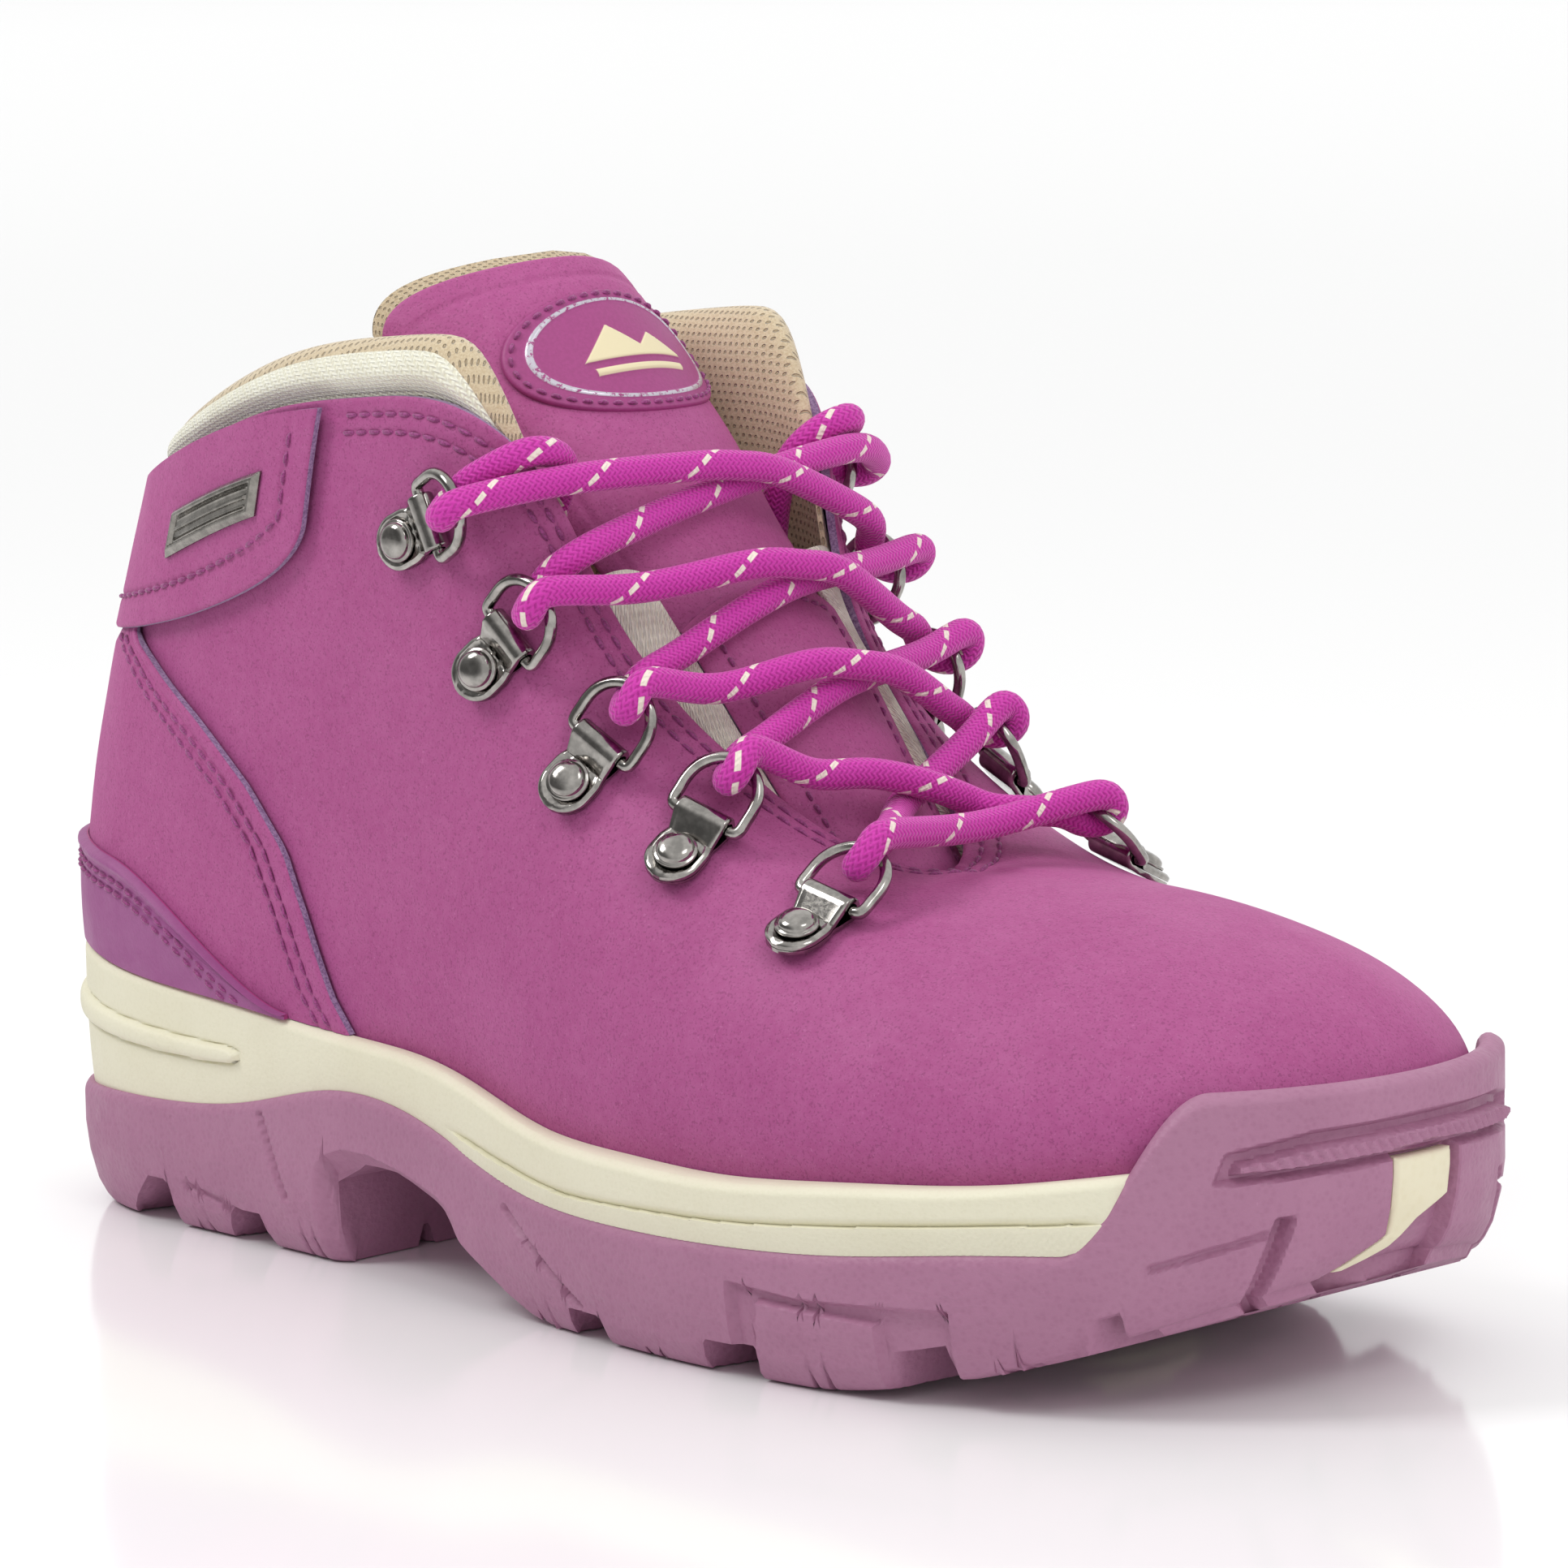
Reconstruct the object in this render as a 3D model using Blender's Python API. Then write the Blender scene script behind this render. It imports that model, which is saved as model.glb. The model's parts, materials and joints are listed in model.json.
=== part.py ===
"""Right hiking boot, laced, built piece by piece on one foot-shaped surface.

Frame: toe +X, outer (lateral) side -Y, inner (medial) side +Y, up +Z, ground at Z = 0.
Tables and driving dimensions are in millimetres from the back of the heel; the objects are placed
in metres, about the middle of the footprint.
"""
import math

import bmesh
import bpy
import numpy as np

MM = 0.001
MIDDLE = np.array([143.7, -2.74, 0.0])    # middle of the whole boot's footprint, the object's origin
GAP = 0.3                 # clearance between pieces that touch
FIT = 0.5                 # the same between two curved skins
LEATHER = 1.8             # upper leather
OVERLAY = 1.2             # heel panel, counter overlay, collar tab
STIFFENER = 1.0           # toe puff and heel counter
LINING = 0.8              # mesh lining
COLLAR_PAD = 9.0          # padded collar's thickness
WELT_DEPTH = 3.0          # the upper stands this deep in the midsole's rim
BUMPER_TOP = 50.0
WIRE_R = 1.0              # D-ring wire radius
RING_W = 13.0             # D-ring width between wire centres, along its hinge
RING_L = 11.0             # hinge axis to the bow's wire centre
RING_TILT = 20.0          # degrees that the lace holds a ring off the leather
LACE_R = 2.5
LACE_BEND = 5.1           # radius of the lace's turn round a ring
LACE_SPREAD = 1.7         # half the distance along the foot between a turn's two strands
GROOVES = [(33, 43, 5), (60, 68, 5), (151, 158, 5), (180, 188, 5), (208, 215, 5.5), (237, 243, 9)]
TOE_INSERT = np.array([(285.0, -0.5, 24.0), (288.2, 8.5, 36.0)])
FOREFOOT_INSERT = np.array([(217.3, -13.7, 3.0), (234.7, 13.7, 5.2)])
POCKET_GAP = np.array([GAP, GAP, GAP])

# Stations along the outer side, heel to toe. Each row holds the four points of the wall's
# Bezier profile (feather edge, two handles, top or throat edge) and the sole's outline.
CAGE = [
    ((3, 0, 47), (1, 0, 72), (15, 0, 98), (20, 0, 127), (0, 0)),
    ((11, -21, 47), (10, -23, 72), (22, -22, 100), (30, -21, 128), (7.5, -23)),
    ((32, -31, 44), (31, -34, 68), (40, -32, 104), (54, -34, 136), (28, -34.5)),
    ((62, -35, 42), (61, -38, 66), (68, -38, 112), (80, -40, 143.5), (60, -38)),
    ((90, -37.5, 40), (89, -41, 66), (92, -40, 115), (103, -41.5, 146.5), (88, -41)),
    ((112, -40, 39), (111, -44, 66), (116, -43, 116), (124, -41, 146), (112, -44.5)),
    ((130, -43, 36), (130, -48, 64), (133, -44, 108), (138, -34, 134), (132, -48.5)),
    ((150, -47, 32), (150, -52, 58), (148, -45, 97), (146, -28.5, 115), (152, -53)),
    ((172, -50, 31), (171, -55, 54), (164, -45, 85), (157, -25, 100), (175, -57)),
    ((195, -52, 31), (194, -57, 52), (181, -44, 76), (167, -22, 91), (198, -58.5)),
    ((220, -52, 33), (219, -57, 52), (201, -42, 69), (178, -17.5, 82), (222, -57.5)),
    ((245, -47, 35), (246, -52, 54), (222, -36, 69), (187, -11, 75.5), (246, -53)),
    ((266, -36, 38), (268, -40, 57), (239, -24, 73), (191, -5, 73), (268, -41)),
    ((279, -18, 39), (283, -19, 58), (247, -11, 77), (192.5, -2, 72.5), (283, -20)),
    ((283, 5, 39), (288, 5, 58), (250, 3, 78), (193, 0.5, 72), (288, 4)),
]
# Half-widths of the feather edge and of the outline on the inner side, stations 1 to 13.
INNER_Y = [(21, 23), (30.5, 34), (34, 37), (33.5, 36.5), (33, 35.5), (34, 36.5), (37, 40),
           (42, 45.5), (46.5, 50.5), (48.5, 53), (46.5, 51.5), (39, 44), (25, 27)]
INNER_TOP = 0.94          # the inner side's top edge stands a little nearer the middle
# Top of the outsole's wall at the same stations, without the toe bumper.
SEAT_Z = [21, 21, 22, 24, 30, 29.5, 24.5, 21, 20.5, 21, 22.5, 25, 26, 27, 27]

# Clips: place on the wall of rivet and of ring, as (station along the outer side, height 0..1)
CLIPS = [((4.77, 0.777), (5.30, 0.853)), ((5.87, 0.66), (6.33, 0.80)), ((7.22, 0.643), (7.62, 0.817)),
         ((8.58, 0.667), (9.07, 0.863)), ((9.90, 0.63), (10.55, 0.807))]

COLOURS = {               # base colour, roughness, metallic
    "leather": ((0.42, 0.075, 0.23), 0.75, 0.0),
    "overlay": ((0.36, 0.06, 0.22), 0.6, 0.0),
    "cream_fabric": ((0.74, 0.72, 0.56), 0.85, 0.0),
    "tan_mesh": ((0.62, 0.5, 0.3), 0.9, 0.0),
    "midsole": ((0.76, 0.72, 0.55), 0.6, 0.0),
    "outsole": ((0.26, 0.1, 0.17), 0.65, 0.0),
    "metal": ((0.35, 0.34, 0.33), 0.25, 1.0),
    "lace": ((0.62, 0.09, 0.42), 0.8, 0.0),
    "board": ((0.5, 0.42, 0.3), 0.9, 0.0),
    "foam": ((0.8, 0.78, 0.7), 0.95, 0.0),
    "stiffener": ((0.7, 0.7, 0.68), 0.6, 0.0),
    "patch": ((0.45, 0.09, 0.25), 0.5, 0.0),
}


# ---------------------------------------------------------------- the foot-shaped surface
def both_sides(cage, inner_y):
    """The stations all the way round: heel, outer side, toe, inner side."""
    rows = [[np.array(p, float) for p in row] for row in cage]
    around = [list(row) for row in rows]
    for i in range(len(rows) - 2, 0, -1):
        feather_y, outline_y = inner_y[i - 1]
        p0, p1, p2, p3, outline = [p.copy() for p in rows[i]]
        share = feather_y / -p0[1]
        p0[1] = feather_y
        p1[1] *= -share
        p2[1] *= -(1 + share) / 2
        p3[1] *= -INNER_TOP
        outline[1] = outline_y
        around.append([p0, p1, p2, p3, outline])
    return around


def ring_spline(values):
    """A closed cubic spline through evenly spaced values, as a function of t in 0..1."""
    y = np.array(values, float)
    n = len(y)
    eye = np.eye(n)
    system = 4 * eye + np.roll(eye, 1, 0) + np.roll(eye, -1, 0)
    slope = np.linalg.solve(system, 3 * (np.roll(y, -1, 0) - np.roll(y, 1, 0)))

    def at(t):
        u = np.asarray(t, float) % 1.0 * n
        i = np.floor(u).astype(int) % n
        j = (i + 1) % n
        h = u - np.floor(u)
        if y.ndim > 1:
            h = h[..., None]
        return ((1 + 2 * h) * (1 - h) ** 2 * y[i] + h * (1 - h) ** 2 * slope[i]
                + h * h * (3 - 2 * h) * y[j] + h * h * (h - 1) * slope[j])
    return at


AROUND = both_sides(CAGE, INNER_Y)
STATIONS = len(AROUND)
FEATHER, HANDLE_A, HANDLE_B, TOP_EDGE = [ring_spline([row[k] for row in AROUND]) for k in range(4)]
OUTLINE = ring_spline([row[4] for row in AROUND])
SEAT = ring_spline(SEAT_Z + SEAT_Z[-2:0:-1])


def smoothstep(x, low, high):
    s = np.clip((np.asarray(x, float) - low) / (high - low), 0.0, 1.0)
    return s * s * (3 - 2 * s)


def wall(t, v):
    """A point of the upper's outer face: t goes round from the heel, v from feather to top edge."""
    t, v = np.broadcast_arrays(np.asarray(t, float), np.asarray(v, float))
    w = np.clip(v, 0, 1)[..., None]
    inside = ((1 - w) ** 3 * FEATHER(t) + 3 * w * (1 - w) ** 2 * HANDLE_A(t)
              + 3 * w * w * (1 - w) * HANDLE_B(t) + w ** 3 * TOP_EDGE(t))
    above = TOP_EDGE(t) - HANDLE_B(t)
    above /= np.linalg.norm(above, axis=-1, keepdims=True)
    below = np.array([0.0, 0.0, 1.0])
    over = np.maximum(v - 1, 0)[..., None] * 100.0      # past the edge, v counts 100 mm
    under = np.minimum(v, 0)[..., None] * 100.0
    return inside + over * above + under * below


def wall_normal(t, v, step=1e-3):
    v = np.clip(v, step, 1 - step)
    along = wall(np.asarray(t) + step, v) - wall(np.asarray(t) - step, v)
    up = wall(t, v + step) - wall(t, v - step)
    normal = np.cross(along, up)
    return normal / np.linalg.norm(normal, axis=-1, keepdims=True)


def skin(t, v, offset):
    """A point at a distance outside (+) or inside (-) the upper's outer face."""
    t, v = np.broadcast_arrays(np.asarray(t, float), np.asarray(v, float))
    return wall(t, v) + wall_normal(t, v) * np.asarray(offset, float)[..., None]


def plan_inset(curve, t, inset, step=1e-3):
    """A plan outline moved inwards."""
    tangent = curve(t + step)[..., :2] - curve(t - step)[..., :2]
    tangent /= np.linalg.norm(tangent, axis=-1, keepdims=True)
    inward = np.stack([-tangent[..., 1], tangent[..., 0]], -1)
    return curve(t)[..., :2] + inward * np.asarray(inset, float)[..., None]


# ---------------------------------------------------------------- mesh helpers
def material(name):
    found = bpy.data.materials.get(name)
    if found:
        return found
    colour, roughness, metallic = COLOURS[name]
    made = bpy.data.materials.new(name)
    made.use_nodes = True
    shader = made.node_tree.nodes["Principled BSDF"]
    shader.inputs["Base Color"].default_value = (*colour, 1)
    shader.inputs["Roughness"].default_value = roughness
    shader.inputs["Metallic"].default_value = metallic
    return made


def add_mesh(name, points, faces, mat, origin=(0, 0, 0), smooth=True):
    """One closed mesh object; points in mm, faces turned outwards."""
    bm = bmesh.new()
    verts = [bm.verts.new((np.array(p) - origin) * MM) for p in points]
    for face in faces:
        bm.faces.new([verts[i] for i in face])
    bmesh.ops.recalc_face_normals(bm, faces=bm.faces)
    mesh = bpy.data.meshes.new(name)
    bm.to_mesh(mesh)
    bm.free()
    obj = bpy.data.objects.new(name, mesh)
    obj.location = (np.array(origin) - MIDDLE) * MM
    bpy.context.scene.collection.objects.link(obj)
    mesh.materials.append(material(mat))
    if smooth:
        mesh.shade_smooth()
        mesh.set_sharp_from_angle(angle=math.radians(40))
    return obj


def shell(name, outer, inner, closed, mat, origin=(0, 0, 0)):
    """A sheet with thickness between two grids of points; closed joins its first and last columns."""
    cols, rows = outer.shape[:2]
    points = np.concatenate([outer.reshape(-1, 3), inner.reshape(-1, 3)])
    back = cols * rows
    faces = []
    for i in range(cols if closed else cols - 1):
        k = (i + 1) % cols
        for j in range(rows - 1):
            a, b, c, d = i * rows + j, k * rows + j, k * rows + j + 1, i * rows + j + 1
            faces += [(a, b, c, d), (back + d, back + c, back + b, back + a)]
        for j in (0, rows - 1):
            a, b = i * rows + j, k * rows + j
            faces.append((a, b, back + b, back + a))
    if not closed:
        for i in (0, cols - 1):
            for j in range(rows - 1):
                a, b = i * rows + j, i * rows + j + 1
                faces.append((a, b, back + b, back + a))
    return add_mesh(name, points, faces, mat, origin)


def loft(name, loops, mat):
    """A solid through stacked closed loops, each end filled straight across the foot."""
    n = len(loops[0])
    points = np.concatenate(loops)
    faces = []
    for level in range(len(loops) - 1):
        low, high = level * n, (level + 1) * n
        for i in range(n):
            k = (i + 1) % n
            faces.append((low + i, low + k, high + k, high + i))
    for base in (0, (len(loops) - 1) * n):
        faces.append((base, base + 1, base + n - 1))
        for i in range(1, n // 2 - 1):
            faces.append((base + i, base + i + 1, base + n - i - 1, base + n - i))
        faces.append((base + n // 2 - 1, base + n // 2, base + n // 2 + 1))
    return add_mesh(name, points, faces, mat)


def with_z(plan, z):
    return np.concatenate([plan, np.broadcast_to(np.asarray(z, float), plan.shape[:1])[:, None]], 1)


def block(name, low, high, mat="board"):
    corners = [(x, y, z) for x in (low[0], high[0]) for y in (low[1], high[1]) for z in (low[2], high[2])]
    faces = [(0, 1, 3, 2), (4, 6, 7, 5), (0, 4, 5, 1), (2, 3, 7, 6), (0, 2, 6, 4), (1, 5, 7, 3)]
    return add_mesh(name, corners, faces, mat, smooth=False)


def cut(obj, cutter):
    cutter.hide_render = True
    cutter.display_type = "WIRE"
    step = obj.modifiers.new("cut_" + cutter.name, "BOOLEAN")
    step.object = cutter
    step.operation = "DIFFERENCE"
    step.solver = "EXACT"


def tube(name, points, radius, mat, closed=False, resolution=2, origin=(0, 0, 0)):
    curve = bpy.data.curves.new(name, "CURVE")
    curve.dimensions = "3D"
    curve.bevel_depth = radius * MM
    curve.bevel_resolution = resolution
    curve.use_fill_caps = True
    spline = curve.splines.new("POLY")
    spline.points.add(len(points) - 1)
    for place, point in zip(spline.points, points):
        place.co = (*((np.array(point) - origin) * MM), 1)
    spline.use_cyclic_u = closed
    obj = bpy.data.objects.new(name, curve)
    obj.location = (np.array(origin) - MIDDLE) * MM
    bpy.context.scene.collection.objects.link(obj)
    curve.materials.append(material(mat))
    return obj


# ---------------------------------------------------------------- sole
def columns(count, crowd=0.4):
    """Places round the foot, closer together at the heel and at the toe."""
    even = np.arange(count) / count
    return even - crowd / (4 * math.pi) * np.sin(4 * math.pi * even)


T_ROUND = columns(56)


def outline_x(t):
    return OUTLINE(t)[..., 0]


def ground_line(x):
    """Underside of the wall: rounded heel, then flat, then the toe spring."""
    heel = 4.0 * (1 - np.clip(np.asarray(x) / 14.0, 0, 1)) ** 2
    toe = 21.0 * np.clip((np.asarray(x) - 212.0) / 76.0, 0, 1) ** 1.6
    return heel + toe


def outsole_top(t):
    return SEAT(t) + (BUMPER_TOP - SEAT(t)) * smoothstep(outline_x(t), 252.0, 277.0)


def upper_core(name, grow):
    """The space that the lower part of the upper fills, a little larger than the upper itself."""
    levels = (-0.033, 0.0, 0.07, 0.15, 0.25, 0.4)
    loops = [skin(T_ROUND, v + 0 * T_ROUND, grow + 0 * T_ROUND) for v in levels]
    return loft(name, loops, "outsole")


def make_outsole():
    t = T_ROUND
    low, top = ground_line(outline_x(t)), outsole_top(t)
    bumper = smoothstep(outline_x(t), 256.0, 270.0)
    loops = [
        with_z(plan_inset(OUTLINE, t, 5.0 + 0 * t), low),
        with_z(plan_inset(OUTLINE, t, 3.2 + 0 * t), low + 1.5),
        with_z(plan_inset(OUTLINE, t, 0.6 + 0 * t), low + 9.0),
        with_z(plan_inset(OUTLINE, t, 0 * t), np.maximum(top - 4.0, low + 11.0)),
        with_z(plan_inset(OUTLINE, t, 0.8 + 1.2 * bumper), top),
    ]
    sole = loft("outsole", loops, "outsole")
    arch = [(88, -2), (90, 15), (97, 18.5), (108, 19), (120, 14.5), (134, 7), (149, -2)]
    points = [(x, y, z) for y in (-70, 70) for x, z in arch]
    count = len(arch)
    faces = [tuple(range(count)), tuple(range(count, 2 * count))]
    faces += [(i, (i + 1) % count, count + (i + 1) % count, count + i) for i in range(count)]
    cut(sole, add_mesh("arch_cutter", points, faces, "outsole", smooth=False))
    for number, (x0, x1, depth) in enumerate(GROOVES):
        cut(sole, block(f"groove_cutter_{number}", (x0, -70, -3), (x1, 70, depth)))
    cut(sole, block("toe_pocket_cutter", TOE_INSERT[0] - POCKET_GAP, TOE_INSERT[1] + POCKET_GAP + (8, 0, 0)))
    cut(sole, block("forefoot_pocket_cutter", FOREFOOT_INSERT[0] - POCKET_GAP - (0, 0, 3),
                    FOREFOOT_INSERT[1] + POCKET_GAP))
    cut(sole, midsole_body("midsole_cutter", GAP))
    cut(sole, upper_core("upper_cutter", GAP))
    return sole


def make_tread_inserts():
    block("toe_tread_insert", *TOE_INSERT, "midsole")
    block("forefoot_tread_insert", *FOREFOOT_INSERT, "midsole")


def midsole_body(name, grow):
    """The midsole's shape: full width where it shows, inside the outsole's wall at the toe."""
    t = T_ROUND
    top_z = FEATHER(t)[:, 2]
    edge, seat = outsole_top(t), SEAT(t)
    hidden = smoothstep(outline_x(t), 258.0, 270.0)
    inside = plan_inset(FEATHER, t, -0.5 - grow + 0 * t)

    def plan(inset):
        full = plan_inset(OUTLINE, t, inset - grow + 0 * t)
        return full * (1 - hidden[:, None]) + inside * hidden[:, None]
    rise = np.minimum(edge, top_z - 4.0)
    loops = [
        with_z(plan(1.0), seat + GAP - grow),
        with_z(plan(0.2), (rise + top_z) / 2),
        with_z(plan(0.9), top_z - 1.2 + grow),
        with_z(plan(1.8), top_z + grow),
    ]
    return loft(name, loops, "midsole")


def floor_z(x):
    """Height of the midsole's floor under the foot, along the boot."""
    outer = np.array([row[0] for row in CAGE], float)
    return np.interp(x, outer[:, 0], outer[:, 2]) - WELT_DEPTH


def strip(name, x_range, half_width, low, high, mat):
    """A bent strip that follows the midsole's floor."""
    x, y = np.meshgrid(np.linspace(*x_range, 9), (-half_width, half_width), indexing="ij")
    z = floor_z(x)
    return shell(name, np.stack([x, y, z + high], -1), np.stack([x, y, z + low], -1), False, mat)


def make_midsole():
    sole = midsole_body("midsole", 0.0)
    cut(sole, upper_core("welt_cutter", GAP))
    cut(sole, strip("shank_slot_cutter", (61.6, 138.4), 8.4, -2.6, 2.0, "board"))
    strip("shank", (62, 138), 8.0, -2.2, -0.7, "stiffener")
    return sole


def plate(name, inset, low, high, mat):
    """A sole-shaped piece between two heights over the midsole's floor."""
    t = columns(40)
    plan = plan_inset(FEATHER, t, inset + 0 * t)
    floor = FEATHER(t)[:, 2] - WELT_DEPTH
    return loft(name, [with_z(plan, floor + low), with_z(plan, floor + high)], mat)


# ---------------------------------------------------------------- upper
COLLAR_T = 0.2            # the padded collar reaches this far round each side of the heel


def collar_share(t):
    """1 along the padded collar, 0 along the throat."""
    away = np.minimum(np.asarray(t) % 1.0, 1 - np.asarray(t) % 1.0)
    return 1 - smoothstep(away, COLLAR_T - 0.035, COLLAR_T + 0.02)


def full_ring(v_values, offset):
    t, v = np.meshgrid(T_ROUND, v_values, indexing="ij")
    return skin(t, v, offset + 0 * t)


def constant(low, high):
    """A patch's two edges that don't change along it."""
    def edges(share):
        return low + 0 * share, high + 0 * share
    return edges


def wall_patch(name, t_range, v_range, outside, thickness, mat, cols=14, rows=6):
    """A piece of the wall's skin; t_range(b) and v_range(a) give its edges."""
    a, b = np.meshgrid(np.linspace(0, 1, cols), np.linspace(0, 1, rows), indexing="ij")
    t_low, t_high = t_range(b)
    v_low, v_high = v_range(a)
    t = t_low + (t_high - t_low) * a
    v = v_low + (v_high - v_low) * b
    outer = skin(t, v, outside + 0 * t)
    inner = skin(t, v, outside - thickness + 0 * t)
    return shell(name, outer, inner, False, mat)


def make_upper_leather():
    v = [-0.027, 0.0, 0.08, 0.2, 0.35, 0.5, 0.65, 0.8, 0.92, 1.0]
    return shell("upper_leather", full_ring(v, 0.0), full_ring(v, -LEATHER), True, "leather")


def make_heel_pieces():
    def panel_t(b):
        reach = 0.149 - 0.088 * np.clip(b, 0, 1) ** 1.7
        return -reach, reach
    wall_patch("heel_panel", panel_t, constant(0.012, 0.655), OVERLAY + FIT + 0.2, OVERLAY,
               "leather", cols=25, rows=7)

    def counter_top(a):
        across = np.abs(2 * a - 1)
        return 0.012 + 0 * a, 0.235 - 0.22 * smoothstep(across, 0.5, 1.0) ** 1.2
    wall_patch("counter_overlay", constant(-0.127, 0.127), counter_top,
               2 * OVERLAY + 2 * FIT + 0.2, OVERLAY, "overlay", cols=25, rows=4)

    def tab_low(a):
        across = np.abs(2 * a - 1)
        return 0.678 + 0.17 * np.clip((across - 0.72) / 0.28, 0, 1) ** 2, 0.985 + 0 * a
    wall_patch("collar_tab", constant(-0.129, 0.129), tab_low, OVERLAY + FIT, OVERLAY,
               "leather", cols=25, rows=5)

    def badge_height(a):
        return 0.79 + 0.035 * a, 0.855 + 0.03 * a
    wall_patch("badge_plate", constant(0.069, 0.1055), badge_height, OVERLAY + 2 * FIT + 1.0, 1.0,
               "metal", cols=5, rows=2)


def make_stiffeners():
    def counter_t(b):
        return 0.03 * b - 0.16, 0.16 - 0.03 * b

    def puff_t(b):
        return 0.41 + 0.03 * b, 0.59 - 0.03 * b
    for name, reach in (("heel_counter", counter_t), ("toe_puff", puff_t)):
        wall_patch(name, reach, constant(0.03, 0.5), -LEATHER - FIT - 0.1, STIFFENER, "stiffener",
                   cols=21, rows=6)


# The lining's outer face, from inside the foot up over the collar: (depth, height) at the
# throat and at the padded collar. Height counts the wall's v, and 100 mm a unit above 1.
LINING_PATH = [((4.0, 0.035), (4.0, 0.035)), ((4.0, 0.24), (4.0, 0.24)), ((4.0, 0.46), (4.3, 0.44)),
               ((3.1, 0.70), (8.2, 0.68)), ((2.7, 0.86), (9.4, 0.88)), ((2.6, 0.94), (9.4, 1.02)),
               ((2.6, 0.972), (7.0, 1.084)), ((2.6, 0.984), (3.8, 1.095)), ((2.6, 0.992), (1.5, 1.078))]


def lining_grid(extra):
    t = T_ROUND
    share = collar_share(t)
    grid = np.zeros((len(t), len(LINING_PATH), 3))
    path = np.array([[thin[0] + 0 * t + (pad[0] - thin[0]) * share, thin[1] + (pad[1] - thin[1]) * share]
                     for thin, pad in LINING_PATH])
    step = np.gradient(path, axis=0)
    step[:, 1] *= 100.0
    step /= np.linalg.norm(step, axis=1, keepdims=True) + 1e-9
    depth = path[:, 0] + extra * step[:, 1]
    height = path[:, 1] - extra * step[:, 0] / 100.0
    for j in range(len(LINING_PATH)):
        grid[:, j] = skin(t, height[j], -depth[j])
    return grid


def make_lining_and_collar():
    shell("lining", lining_grid(0.0), lining_grid(LINING), True, "tan_mesh")
    a, b = np.meshgrid(np.linspace(-0.178, 0.178, 25), np.linspace(0, 1, 6), indexing="ij")
    share = collar_share(a)
    band_v = 0.955 + (0.045 + 0.068 * share) * b
    bulge = -LEATHER - FIT + (LEATHER + 0.6) * smoothstep(b, 0.4, 0.8) * share
    shell("collar_band", skin(a, band_v, bulge), skin(a, band_v, bulge - 0.8), False, "cream_fabric")
    a, b = np.meshgrid(np.linspace(-0.165, 0.165, 21), np.linspace(0, 1, 6), indexing="ij")
    foam_v = 0.74 + 0.31 * b
    front = -LEATHER - 2 * FIT - 0.8 + 0 * b
    back = -COLLAR_PAD + 0.3 + 1.2 * (1 - b) ** 2 + 2.0 * b ** 6
    shell("collar_foam", skin(a, foam_v, front - 0.3 * b), skin(a, foam_v, back), False, "foam")


# ---------------------------------------------------------------- tongue
TONGUE_CREST = [(203, 61), (190, 67), (176, 84), (160, 105), (145, 122), (125, 147), (105, 169)]
TONGUE_RADIUS = [26, 26, 28, 31, 33, 30, 28]
TONGUE_TURN_INNER = [35, 41, 43, 43, 42, 53, 63]      # degrees that it wraps round the shin, each side
TONGUE_TURN_OUTER = [35, 41, 43, 43, 42, 58, 84]
WING_RISE = 13.0          # how much higher the tongue's outer wing stands than its middle
WING_UP = np.array([0.2, 0.72])       # the way its end rises, clear of the collar's mouth
TONGUE_LEATHER = 1.2
TONGUE_FOAM = 3.8
HINGE = (196.0, 0.0, 62.0)
INSTEP_UP = np.array([-0.672, 0.0, 0.741])       # along the instep, from the throat's bottom
INSTEP_FRONT = np.array([0.741, 0.0, 0.672])     # out of the instep
INSTEP_BASE = np.array([193.0, 0.0, 72.0])


def through(values, b):
    """A smooth curve through evenly spaced values, b in 0..1."""
    y = np.array(values, float)
    u = np.clip(np.asarray(b, float), 0, 1) * (len(y) - 1)
    i = np.clip(np.floor(u).astype(int), 0, len(y) - 2)
    h = u - i
    ends = np.concatenate([[2 * y[0] - y[1]], y, [2 * y[-1] - y[-2]]])
    p0, p1, p2, p3 = ends[i], ends[i + 1], ends[i + 2], ends[i + 3]
    if y.ndim > 1:
        h = h[..., None]
    return 0.5 * (2 * p1 + (p2 - p0) * h + (2 * p0 - 5 * p1 + 4 * p2 - p3) * h * h
                  + (3 * p1 - p0 - 3 * p2 + p3) * h ** 3)


def tongue(a, b, offset=0.0):
    """The tongue's outer face: a across from -1 to 1, b from the throat's bottom to the top."""
    turn = np.where(np.asarray(a) < 0, through(TONGUE_TURN_OUTER, b), through(TONGUE_TURN_INNER, b))
    return tongue_at(a * turn, b, offset)


def tongue_at(degrees, b, offset=0.0):
    degrees, b = np.broadcast_arrays(np.asarray(degrees, float), np.asarray(b, float))
    crest = through(TONGUE_CREST, b)
    step = through(TONGUE_CREST, np.minimum(b + 0.01, 1)) - through(TONGUE_CREST, np.maximum(b - 0.01, 0))
    step /= np.linalg.norm(step, axis=-1, keepdims=True)
    front = np.stack([step[..., 1], -step[..., 0]], -1)
    front *= np.sign(front[..., :1])
    radius = through(TONGUE_RADIUS, b)
    angle = np.radians(degrees)
    reach = radius + offset
    sink = reach * np.cos(angle) - radius
    place = crest + front * sink[..., None]
    side = reach * np.sin(angle) + 1.5 * b
    wing = WING_RISE * smoothstep(b, 0.6, 1.0) * np.clip(-degrees / 84, 0, 1) ** 2
    upright = smoothstep(b, 0.75, 0.95)[..., None]
    place = place + (step * (1 - upright) + WING_UP * upright) * wing[..., None]
    return np.stack([place[..., 0], side, place[..., 1]], -1)


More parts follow.
